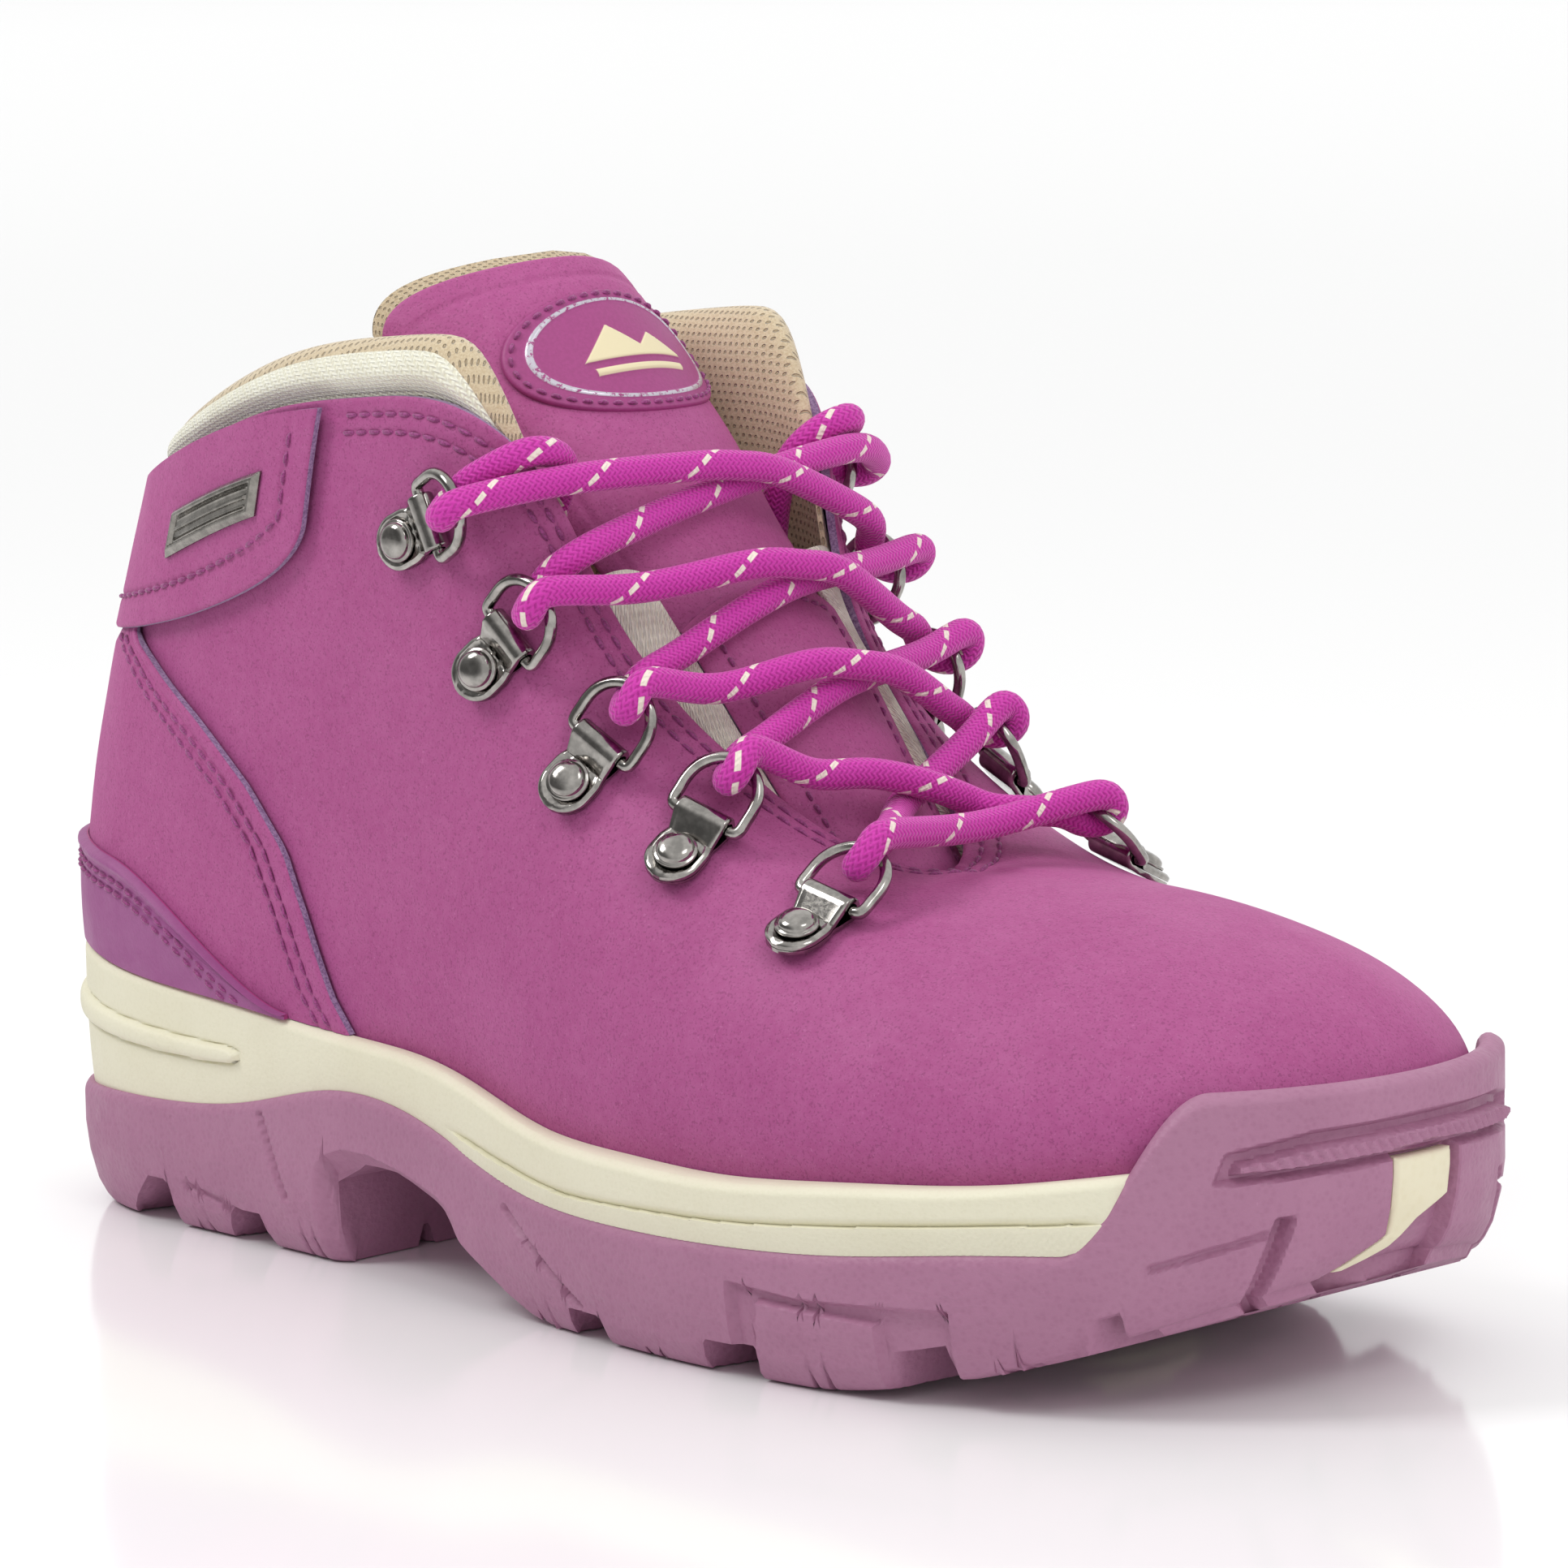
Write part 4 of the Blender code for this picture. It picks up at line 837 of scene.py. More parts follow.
def two_skins(name, outer, inner, finishes, slot, closed=False, **more):
    """A sheet between two grids of points. Finishes: outer face, cut edges, inner face."""
    cols, rows = outer.shape[:2]
    back = cols * rows
    front_faces = quads(cols, rows, closed)
    back_faces = quads(cols, rows, closed, base=back)[:, ::-1]
    loops = []
    along = np.arange(cols if closed else cols - 1)
    after = (along + 1) % cols
    for j in (0, rows - 1):
        loops.append(np.stack([along * rows + j, after * rows + j], 1))
    if not closed:
        up = np.arange(rows - 1)
        for i in (0, cols - 1):
            loops.append(np.stack([i * rows + up, i * rows + up + 1], 1))
    rim = np.concatenate(loops)
    edge_faces = np.concatenate([rim, rim[:, ::-1] + back], 1)
    faces = np.concatenate([front_faces, back_faces, edge_faces])
    which = np.concatenate([np.zeros(len(front_faces), int), np.full(len(back_faces), 2),
                            np.ones(len(edge_faces), int)])
    front_uv = grid_uv(outer, closed)
    flipped = front_uv.reshape(-1, 4, 2)[:, ::-1].reshape(-1, 2)
    rim_uv = np.tile([[0.0, 0.0], [1.0, 0.0], [1.0, 0.8], [0.0, 0.8]], (len(edge_faces), 1))
    points = np.concatenate([outer.reshape(-1, 3), inner.reshape(-1, 3)])
    return piece(name, points, faces, finishes, slot, which=which,
                 uv=np.concatenate([front_uv, flipped, rim_uv]), **more)


def along_curve(points, step, closed=False):
    """A smooth curve through points, as evenly spaced ones about step mm apart."""
    p = np.array(points, float)
    if closed:
        ends = np.vstack([p[-1:], p, p[:2]])
    else:
        ends = np.vstack([2 * p[0] - p[1], p, 2 * p[-1] - p[-2]])
    h = np.linspace(0, 1, 10, endpoint=False)[:, None, None]
    a, b, c, d = ends[None, :-3], ends[None, 1:-2], ends[None, 2:-1], ends[None, 3:]
    dense = 0.5 * (2 * b + (c - a) * h + (2 * a - 5 * b + 4 * c - d) * h * h
                   + (3 * b - a - 3 * c + d) * h ** 3)
    dense = dense.transpose(1, 0, 2).reshape(-1, 3)
    dense = np.vstack([dense, p[:1] if closed else p[-1:]])
    run = np.concatenate([[0], np.cumsum(np.linalg.norm(np.diff(dense, axis=0), axis=1))])
    count = int(round(run[-1] / step)) + 1
    even = np.linspace(0, run[-1], count)
    curve = np.stack([np.interp(even, run, dense[:, k]) for k in range(3)], 1)
    return curve[:-1] if closed else curve


def sweep(name, path, radius, sides, finishes, slot, closed=False, **more):
    """A round tube along a path, with its UV in mm along and 0..1 round."""
    tangent = np.gradient(path, axis=0)
    if closed:
        tangent = (np.roll(path, -1, 0) - np.roll(path, 1, 0)) / 2
    tangent /= np.linalg.norm(tangent, axis=1, keepdims=True)
    normals = [np.cross(tangent[0], (0.3, 0.2, 0.93))]
    for t in tangent[1:]:
        normals.append(normals[-1] - t * (normals[-1] @ t))
        normals[-1] /= np.linalg.norm(normals[-1])
    normals = np.array(normals)
    normals[0] /= np.linalg.norm(normals[0])
    binormals = np.cross(tangent, normals)
    size = np.broadcast_to(np.asarray(radius, float), (len(path),))
    angle = np.linspace(0, 2 * math.pi, sides, endpoint=False)
    ring = np.cos(angle)[None, :, None] * normals[:, None] + np.sin(angle)[None, :, None] * binormals[:, None]
    grid = path[:, None] + size[:, None, None] * ring
    cols = len(path)
    faces = quads(cols, sides, closed, True)
    whole = np.vstack([path, path[:1]]) if closed else path
    run = np.concatenate([[0], np.cumsum(np.linalg.norm(np.diff(whole, axis=0), axis=1))])
    u, v = np.meshgrid(run, np.arange(sides + 1) / sides, indexing="ij")
    corners = face_corners(u, v)
    faces = faces.tolist()
    if not closed:
        faces += [list(range(sides)), list(range((cols - 1) * sides, cols * sides))]
        corners = np.concatenate([corners, np.zeros((2 * sides, 2))])
    return piece(name, grid.reshape(-1, 3), faces, finishes, slot, uv=corners, **more)


# A stitch's shape: places along it from -1 to 1, and its thickness at each.
STITCH_AT = np.array([-1.0, -0.85, -0.45, 0.0, 0.45, 0.85, 1.0])
STITCH_FULL = np.array([0.12, 0.62, 0.95, 1.0, 0.95, 0.62, 0.12])


def stitches(name, rows, body="boot", pitch=3.3, length=2.9, radius=0.4):
    """Rows of sewn stitches as small bowed capsules; each row is a line of points with its normals."""
    centres, tangents, normals = [], [], []
    for points, outward in rows:
        run = np.concatenate([[0], np.cumsum(np.linalg.norm(np.diff(points, axis=0), axis=1))])
        at = np.arange(pitch / 2, run[-1], pitch)

        def spot(values, where):
            return np.stack([np.interp(where, run, values[:, k]) for k in range(3)], 1)
        line = spot(points, at + 0.4) - spot(points, at - 0.4)
        up = spot(outward, at)
        centres.append(spot(points, at))
        tangents.append(line / np.linalg.norm(line, axis=1, keepdims=True))
        normals.append(up / np.linalg.norm(up, axis=1, keepdims=True))
    centre, tangent, normal = (np.concatenate(parts) for parts in (centres, tangents, normals))
    side = np.cross(tangent, normal)
    sides = 6
    angle = np.linspace(0, 2 * math.pi, sides, endpoint=False)
    spine = centre[:, None] + tangent[:, None] * (STITCH_AT * length / 2)[None, :, None]
    spine += normal[:, None] * (0.12 - 0.4 * np.abs(STITCH_AT) ** 3)[None, :, None]
    ring = (np.cos(angle)[None, None, :, None] * normal[:, None, None]
            + np.sin(angle)[None, None, :, None] * side[:, None, None])
    grid = spine[:, :, None] + ring * (STITCH_FULL * radius)[None, :, None, None]
    levels = len(STITCH_AT)
    one = quads(levels, sides, False, True).tolist()
    one += [list(range(sides)), list(range((levels - 1) * sides, levels * sides))]
    faces = [[index + number * levels * sides for index in face]
             for number in range(len(centre)) for face in one]
    return piece(name, grid.reshape(-1, 3), faces, [THREAD], "leather", body=body, sharp=80)


# ---------------------------------------------------------------- camera
AZIMUTH, ELEVATION, ROLL = (math.radians(x) for x in (44.0, 8.0, 0.9))
CAMERA_TARGET = np.array([0.0133, 0.00274, 0.083])
CAMERA_AWAY = 1.150
LENS, SENSOR = 162.1, 36.0


def placed_axes(x, y, z, place):
    """The matrix of an object with these axes at this place."""
    axes = np.stack([x, y, z, np.asarray(place, float)], 1)
    return Matrix(np.vstack([axes, (0, 0, 0, 1)]).tolist())


def make_camera():
    sin_a, cos_a = math.sin(AZIMUTH), math.cos(AZIMUTH)
    sin_e, cos_e = math.sin(ELEVATION), math.cos(ELEVATION)
    right = np.array([cos_a, sin_a, 0.0])
    forward = np.array([-sin_a * cos_e, cos_a * cos_e, -sin_e])
    up = np.array([-sin_a * sin_e, cos_a * sin_e, cos_e])
    rolled_right = right * math.cos(ROLL) - up * math.sin(ROLL)
    rolled_up = right * math.sin(ROLL) + up * math.cos(ROLL)
    data = bpy.data.cameras.new("camera")
    data.lens, data.sensor_width = LENS, SENSOR
    data.clip_start, data.clip_end = 0.05, 50.0
    camera = bpy.data.objects.new("camera", data)
    place = CAMERA_TARGET - forward * CAMERA_AWAY
    camera.matrix_world = placed_axes(rolled_right, rolled_up, -forward, place)
    bpy.context.scene.collection.objects.link(camera)
    bpy.context.scene.camera = camera


# ---------------------------------------------------------------- lace
LACE_EASE = 1.9           # mm along the lace over which its bends are rounded
LACE_STEP = 0.8           # mm between the points of its path
AGLET_SHAPE = ([0, 0.02, 0.05, 0.9, 0.97, 1], [0.9, 1, 1, 0.97, 0.8, 0.5])     # place along, thickness


def make_lace():
    path = along_curve(lace_route(), LACE_STEP)
    weights = np.exp(-0.5 * (np.arange(-7, 8) * LACE_STEP / LACE_EASE) ** 2)
    weights /= weights.sum()
    padded = np.pad(path, ((7, 7), (0, 0)), mode="reflect", reflect_type="odd")
    path = np.stack([np.convolve(padded[:, k], weights, "valid") for k in range(3)], 1)
    lace = sweep("lace_braid", path, LACE_R, 18, [LACE], "lace", stands_for=["lace"])
    for side in ("outer", "inner"):
        end = path[0] if side == "outer" else path[-1]
        near = path[6] if side == "outer" else path[-7]
        away = (end - near) / np.linalg.norm(end - near)
        line = [end + away * (GAP + x) for x in np.linspace(0, AGLET_LENGTH, 40)]
        size = AGLET_R * np.interp(np.linspace(0, 1, 40), *AGLET_SHAPE)
        sweep("aglet_" + side, np.array(line), size, 20, [METAL], "metal",
                            stands_for=["lace_aglet_" + side])


# ---------------------------------------------------------------- leather
def constant(low, high):
    """A piece's two edges that don't change along it."""
    def edges(share):
        return low + 0 * share, high + 0 * share
    return edges


def top_run(t):
    """Millimetres of wall for one unit of v, at the top edge."""
    return 3 * np.linalg.norm(TOP_EDGE(t) - HANDLE_B(t), axis=-1)


def below_top(t, mm):
    return 1 - mm / top_run(t)


def relief(t, v):
    """Slight unevenness of lasted leather, the same for every layer."""
    t, v = np.broadcast_arrays(t, v)
    wide = np.sin(2 * math.pi * (5 * t + 0.4 * v)) * np.sin(2 * math.pi * (1.3 * v + 0.2))
    fine = np.sin(2 * math.pi * (17 * t + 1.1 * v)) * np.sin(2 * math.pi * (3.1 * v + 2 * t))
    return 0.16 * wide + 0.06 * fine


def soft_skin(t, v, offset):
    return skin(t, v, offset + relief(t, v))


SEAM_ROWS = (3.0, 6.0)    # double stitch rows, mm from an edge
# Distances from a sewn edge, in mm, at which a skin has its points.
FINE_EDGE = [0.0, 0.08, 0.25, 0.55, 0.9, 1.4, 2.0, 2.5, 2.85, 3.15, 3.5, 4.0, 4.6, 5.2, 5.6, 5.9, 6.2, 6.6,
             7.2, 8.0, 9.0]


def seam_dip(from_edge, rows=SEAM_ROWS, depth=0.3):
    """The furrow that the stitches pull into the leather, and the rounded cut edge."""
    dip = sum(-depth * np.exp(-((from_edge - row) / 0.5) ** 2) for row in rows)
    return dip - 0.4 * (1 - np.clip(from_edge / 0.6, 0, 1)) ** 2


def make_upper():
    t = columns(420)[:, None]
    low_v = np.linspace(-0.027, 1, 44)[None, :]
    lower = np.where(low_v < 0, low_v, low_v * below_top(t, 9.5))
    fine = below_top(t, np.array(FINE_EDGE[::-1])[None, :])
    v = np.concatenate([lower, fine], 1)
    from_edge = (1 - v) * top_run(t)
    sewn = smoothstep(from_heel(t), 0.125, 0.14)
    outer = soft_skin(t, v, sewn * seam_dip(from_edge) + (1 - sewn) * seam_dip(from_edge, ()))
    depth = np.array([-0.75, -1.1, -1.45])[None, :] + 0 * t
    edge = soft_skin(t, 1 + 0 * depth, depth)
    back_v = np.concatenate([1 + 0 * t, np.linspace(0.97, -0.027, 20)[None, :] + 0 * t], 1)
    back = soft_skin(t, back_v, -LEATHER + 0 * back_v)
    grid = np.concatenate([outer, edge, back], 1)
    cols, rows = grid.shape[:2]
    faces = quads(cols, rows, True, True)
    which = np.where(np.tile(np.arange(rows), cols) < outer.shape[1] - 1, 0, 1)
    piece("upper", grid.reshape(-1, 3), faces, [NUBUCK, SUEDE], "leather", which=which,
          stands_for=["upper_leather"], sharp=60)


BORDER = np.array([0.0, 0.1, 0.3, 0.6, 1.0, 1.6, 2.3, 2.8, 3.1, 3.4, 3.8, 4.4, 5.1, 5.5, 5.8, 6.1, 6.5, 7.2,
                   8.2])


def bordered(length, spacing=2.0, low=True, high=True):
    """Shares 0..1 across a piece of this length, fine along the borders that are seen."""
    cuts = [np.arange(0, length, spacing)]
    if low:
        cuts = [BORDER, np.arange(BORDER[-1] + 1.2, length, spacing)]
    line = np.concatenate(cuts)
    if high:
        line = np.concatenate([line[line < length - BORDER[-1] - 1], (length - BORDER)[::-1]])
    else:
        line = np.append(line[line < length - spacing / 2], length)
    return line / length


def overlay(name, node, t_edges, v_edges, base, thickness, size, shape, finishes, slot,
            borders=(True, True, True)):
    """A flat piece sewn on the upper. shape(a_mm, b_mm) is the relief, from the distances to its borders;
    borders: are the side edges, the bottom edge and the top edge seen?"""
    a = bordered(size[0], low=borders[0], high=borders[0])[:, None]
    b = bordered(size[1], low=borders[1], high=borders[2])[None, :]
    v_low, v_high = v_edges(a)
    v = v_low + (v_high - v_low) * b
    t_low, t_high = t_edges(b + 0 * a)
    t = t_low + (t_high - t_low) * a
    to_side = np.minimum(a, 1 - a) * size[0] + 0 * b
    to_bottom, to_top = b * size[1] + 0 * a, (1 - b) * size[1] + 0 * a
    outer = soft_skin(t, v, base + thickness + shape(to_side, to_bottom, to_top))
    inner = soft_skin(t, v, base + 0 * v)
    return two_skins(name, outer, inner, finishes, slot, stands_for=[node], sharp=50)


# The heel panel's side edge: heights v and its reach t round the heel.
HEEL_EDGE = ((0, .07, .21, .31, .40, .507, .61, .67, .72),
             (.1495, .143, .135, .128, .115, .095, .074, .060, .056))
PANEL_T = 1.55            # heel panel thickness as it shows
PANEL_ROWS = (3.5, 6.0)   # its stitch rows, mm from its edge
OVER_T = 1.1              # counter overlay thickness
OVER_ROWS = (4.0, 6.2)    # its stitch rows
OVER_REACH = 0.127        # how far it goes round each side of the heel
TAB_BASE = 1.35           # the collar tab's back, out of the wall
TAB_T = 1.4               # its thickness
TAB_ROW = 5.0             # its stitch row
TAB_REACH = 0.13          # how far it goes round each side
HEEL_V = 0.004            # height of the lower edge of what is sewn round the heel
ROUND_MM = 560            # millimetres for one unit of t at the heel


def heel_reach(v):
    return np.interp(v, *HEEL_EDGE)


def overlay_top(t):
    return 0.235 - 0.22 * smoothstep(np.abs(t) / OVER_REACH, 0.5, 1.0) ** 1.2


def tab_low(t):
    corner = np.clip((np.abs(t) - 0.079) / 0.051, 0, 1)
    return 0.8 - 0.123 * np.sqrt(1 - corner ** 2)


def stitched_line(t, v, offset):
    return soft_skin(t, v, offset), wall_normal(t, v)


def make_heel_pieces():
    def panel_t(b):
        reach = heel_reach(HEEL_V + 0.696 * b)
        return -reach, reach

    def panel_shape(side, _, high):
        return seam_dip(side, PANEL_ROWS) - (PANEL_T - 0.3) * np.clip(1 - high / 5.0, 0, 1)

    base = FIT + 0.1
    overlay("heel_panel_leather", "heel_panel", panel_t, constant(HEEL_V, 0.70), base, PANEL_T, (150, 66),
            panel_shape, [NUBUCK, SUEDE, SUEDE], "leather", (True, False, True))
    v = np.linspace(0.01, 0.665, 120)
    rows = []
    for side in (-1, 1):
        for mm in PANEL_ROWS:
            run = heel_reach(v) - mm / ROUND_MM
            rows.append(stitched_line(side * run, v, base + PANEL_T + 0 * v))

    over_base = base + PANEL_T + 0.15

    def over_v(a):
        return HEEL_V + 0 * a, overlay_top(2 * OVER_REACH * a - OVER_REACH)

    def over_shape(side, low, high):
        roll = 0.75 * np.exp(-((high - 1.3) / 0.95) ** 2) - 0.9 * (1 - np.clip(high / 1.1, 0, 1)) ** 2
        taper = np.clip(low / 4.0, 0.25, 1)
        side_edge = 0.3 * (1 - np.clip(side / 0.6, 0, 1)) ** 2
        return roll * taper + seam_dip(np.maximum(high, 0.6), OVER_ROWS) - side_edge
    overlay("counter_overlay_leather", "counter_overlay", constant(-OVER_REACH, OVER_REACH), over_v,
            over_base, OVER_T, (130, 23), over_shape, [SMOOTH, ROLLED, SUEDE], "overlay", (True, False, True))
    t = np.linspace(-0.12, 0.12, 200)
    for mm in OVER_ROWS:
        height = overlay_top(t) - mm / 95
        keep = height > 0.006
        rows.append(stitched_line(t[keep], height[keep], over_base + OVER_T + 0 * t[keep]))

    def tab_v(a):
        return tab_low(2 * TAB_REACH * a - TAB_REACH), 0.988 + 0 * a

    def tab_shape(side, low, _):
        return seam_dip(np.minimum(side, low), (TAB_ROW,))
    overlay("collar_tab_leather", "collar_tab", constant(-TAB_REACH, TAB_REACH), tab_v, TAB_BASE, TAB_T,
            (135, 24), tab_shape, [NUBUCK, SUEDE, SUEDE], "leather")
    inset_t, inset_v = TAB_REACH - TAB_ROW / ROUND_MM, TAB_ROW / 80
    arc = np.linspace(-0.1205, 0.1205, 160)
    low_line = tab_low(arc * TAB_REACH / 0.1255) + inset_v
    up = np.linspace(0.96, low_line[0], 22)[:-1]
    path_t = np.concatenate([0 * up - inset_t, arc, 0 * up + inset_t])
    path_v = np.concatenate([up, low_line, up[::-1]])
    rows.append(stitched_line(path_t, path_v, TAB_BASE + TAB_T + 0 * path_t))
    t = np.linspace(0.137, 0.863, 900)
    for mm in SEAM_ROWS:
        rows.append(stitched_line(t, below_top(t, mm), 0 * t - 0.15))
    stitches("upper_stitching", rows)


def make_badge():
    """A bevelled plate with a raised rim and plain ribs along it."""
    a, b = np.meshgrid(np.linspace(0, 1, 90), np.linspace(0, 1, 40), indexing="ij")
    t = 0.0755 + 0.0365 * a
    v = 0.788 + 0.03 * a + (0.083 - 0.01 * a) * b
    length, height = 21.0, 8.0
    x, y = a * length, b * height
    to_rim = np.minimum(np.minimum(x, length - x), np.minimum(y, height - y))
    bevel = 0.9 * np.clip(to_rim / 0.9, 0, 1)
    field = 0.5 * np.clip((to_rim - 1.5) / 0.35, 0, 1)
    inside = np.clip((to_rim - 2.0) / 0.3, 0, 1)
    ribs = np.clip(np.cos(2 * math.pi * y / 2.0) * 1.6, 0, 1)
    base = TAB_BASE + TAB_T + 0.1
    outer = soft_skin(t, v, base + 0.35 + bevel - field + 0.45 * ribs * inside)
    inner = soft_skin(t, v, base + 0 * t)
    two_skins("badge", outer, inner, [BADGE_METAL] * 3, "metal", stands_for=["badge_plate"], sharp=30)


# ---------------------------------------------------------------- lining and collar
# The lining's path as it shows: its outer end turns down behind the cream band.
ROLL_PATH = LINING_PATH[:-1] + [((2.6, 0.99), (1.9, 1.078)), ((2.7, 0.994), (2.3, 1.05))]


def band_share(t):
    """1 where the cream band has its full height, 0 where it has narrowed to nothing."""
    away = from_heel(t)
    return np.sqrt(np.clip(1 - smoothstep(away, 0.163, 0.203), 0, 1))


def collar_surface(count, rows, extra):
    """The lining's path at high resolution: over the collar's roll and down the inside."""
    t = columns(count)
    share = collar_share(t)
    along = np.linspace(0, 1, rows)
    thin = through([low for low, _ in ROLL_PATH], along)
    pad = through([high for _, high in ROLL_PATH], along)
    late = smoothstep(along, 0.72, 0.9)[:, None]
    share_here = share[None, :] * (1 - late + late * band_share(t)[None, :])
    path = thin[:, None] + (pad - thin)[:, None] * share_here[..., None]
    step = np.gradient(path, axis=0) * (1.0, 100.0)
    step /= np.linalg.norm(step, axis=-1, keepdims=True) + 1e-9
    depth = path[..., 0] + extra * step[..., 1]
    height = path[..., 1] - extra * step[..., 0] / 100.0
    quilt = 0.25 * np.sin(2 * math.pi * 9 * t)[None, :] * smoothstep(path[..., 1], 0.6, 0.8) * share[None, :]
    return soft_skin(t[None, :] + 0 * height, height, -(depth + quilt)).transpose(1, 0, 2)


def make_collar():
    lining = two_skins("collar_lining", collar_surface(320, 90, 0.0), collar_surface(320, 90, LINING),
                       [TAN_MESH] * 3, "tan_mesh", closed=True, stands_for=["lining"], sharp=70)
    a = np.linspace(-0.2, 0.2, 310)[:, None]
    b = np.linspace(0, 1, 30)[None, :]
    share = collar_share(a) * band_share(a) + 0 * b
    v = 0.955 + (0.045 + 0.087 * share) * b
    bulge = -LEATHER - FIT + (LEATHER + 0.7) * smoothstep(b, 0.34, 0.66) * share
    bulge -= 2.3 * share * np.clip((b - 0.7) / 0.3, 0, 1) ** 2
    band = two_skins("collar_webbing", soft_skin(a, v, bulge), soft_skin(a, v, bulge - 0.8),
                     [CREAM_WEAVE] * 3, "cream_fabric", stands_for=["collar_band"], sharp=70)


# ---------------------------------------------------------------- tongue
PANEL_A = 0.78            # the lower panel's reach across the tongue, each side
PATCH_TURN = 43.0         # degrees that the oval patch reaches each side
PATCH_B, PATCH_B0 = 0.069, 0.868      # its reach up the tongue, and its middle


def pillow(b):
    """The padded upper part of the tongue stands out above the lower panel's top seam."""
    return 1.1 * smoothstep(b, 0.595, 0.66) * (1 - 0.6 * smoothstep(b, 0.9, 1.0))


def tongue_sheet(name, node, a_range, b_range, outside, thickness, finishes, shape, size, slot="leather"):
    a = bordered(size[0])[:, None]
    b = bordered(size[1])[None, :]
    b_low, b_high = b_range(2 * a - 1)
    bb = b_low + (b_high - b_low) * b
    a_low, a_high = a_range(bb)
    aa = a_low + (a_high - a_low) * a
    to_edge = np.minimum(np.minimum(a, 1 - a) * size[0] + 0 * b, np.minimum(b, 1 - b) * size[1] + 0 * a)
    return two_skins(name, tongue(aa, bb, outside + shape(aa, bb, to_edge)),
                     tongue(aa, bb, outside - thickness + shape(aa, bb, to_edge + 9)), finishes, slot,
                     body="tongue", stands_for=[node], sharp=50)


def make_tongue():
    def leather_shape(a, b, to_edge):
        crease = 0.25 * np.sin(2 * math.pi * (6.5 * b + 0.35 * a * a)) * smoothstep(b, 0.62, 0.7)
        return (pillow(b) + crease) * (1 - a ** 6) + seam_dip(to_edge, (4.0,))

    def leather_b(a):
        return 0.02 + 0 * a, 0.985 - 0.05 * np.abs(a) ** 5
    tongue_sheet("tongue_leather_face", "tongue_leather", constant(-1, 1), leather_b, 0.0, TONGUE_LEATHER,
                 [TONGUE_NUBUCK, SUEDE, SUEDE], leather_shape, (48, 150))

    def panel_b(a):
        return 0.17 + 0.03 * a ** 4, 0.60 - 0.03 * a ** 2

    def panel_shape(_a, _b, to_edge):
        return seam_dip(to_edge, (4.0,))
    tongue_sheet("tongue_panel", "tongue_lower_panel", constant(-PANEL_A, PANEL_A), panel_b, FIT + 1.0, 1.1,
                 [TONGUE_NUBUCK, SUEDE, SUEDE], panel_shape, (32, 64))

    make_tongue_pad()


def make_tongue_pad():
    """Foam and mesh in one: a flat, full tube behind the leather."""
    theta = np.linspace(0, 2 * math.pi, 96, endpoint=False)[None, :]
    b = np.linspace(0, 1, 110)[:, None]
    swell = np.sqrt(np.clip(1 - (2 * b - 1) ** 16, 0, 1))
    half = 2.75 * swell + 0.05
    across = (1.055 - 0.05 * (1 - swell)) * np.sign(np.cos(theta)) * np.abs(np.cos(theta)) ** 0.45
    deep = np.sign(np.sin(theta)) * np.abs(np.sin(theta)) ** 0.6
    bb = 0.1 + 0.9 * b - 0.05 * np.abs(across) ** 5 * b
    puff = 0.35 * np.sin(2 * math.pi * 4 * b) * np.clip(-deep, 0, 1)
    grid = tongue(across, bb, -1.7 - half + half * deep + puff + pillow(bb) * 0.5)
    cols, rows = grid.shape[:2]
    faces = quads(cols, rows, False, True)
    uv = grid_uv(grid, False, True)
    faces = faces.tolist() + [list(range(rows)), list(range((cols - 1) * rows, cols * rows))]
    uv = np.concatenate([uv, np.zeros((2 * rows, 2))])
    pad = piece("tongue_padding", grid.reshape(-1, 3), faces, [TAN_MESH], "tan_mesh", body="tongue", uv=uv,
                stands_for=["tongue_lining", "tongue_foam"], sharp=80)


def tongue_line(a, b, offset):
    points = tongue(a, b, offset)
    up = tongue(a, b, offset + 1.0) - points
    return points, up


def patch_ground(degrees, b):
    """The tongue's padded face under the patch."""
    return pillow(b) * (1 - (degrees / 65) ** 6)


def make_tongue_stitches():
    rows = []
    inset = 1 - 4.0 / 16
    b = np.linspace(0.22, 0.555, 90)
    for side in (-1, 1):
        rows.append(tongue_line(side * PANEL_A * inset + 0 * b, b, FIT + 0.9 + 0 * b))
    a = np.linspace(-PANEL_A * inset, PANEL_A * inset, 50)
    rows.append(tongue_line(a, 0.573 - 0.03 * (a / PANEL_A) ** 2, FIT + 0.9 + 0 * a))
    theta = np.linspace(0, 2 * math.pi, 200)
    degrees, b = PATCH_TURN * 0.93 * np.cos(theta), PATCH_B0 + PATCH_B * 0.91 * np.sin(theta)
    lift = patch_ground(degrees, b) + 1.05
    points = tongue_at(degrees, b, lift)
    rows.append((points, tongue_at(degrees, b, lift + 1.0) - points))
    stitches("tongue_stitching", rows, body="tongue", pitch=2.6, length=2.0)


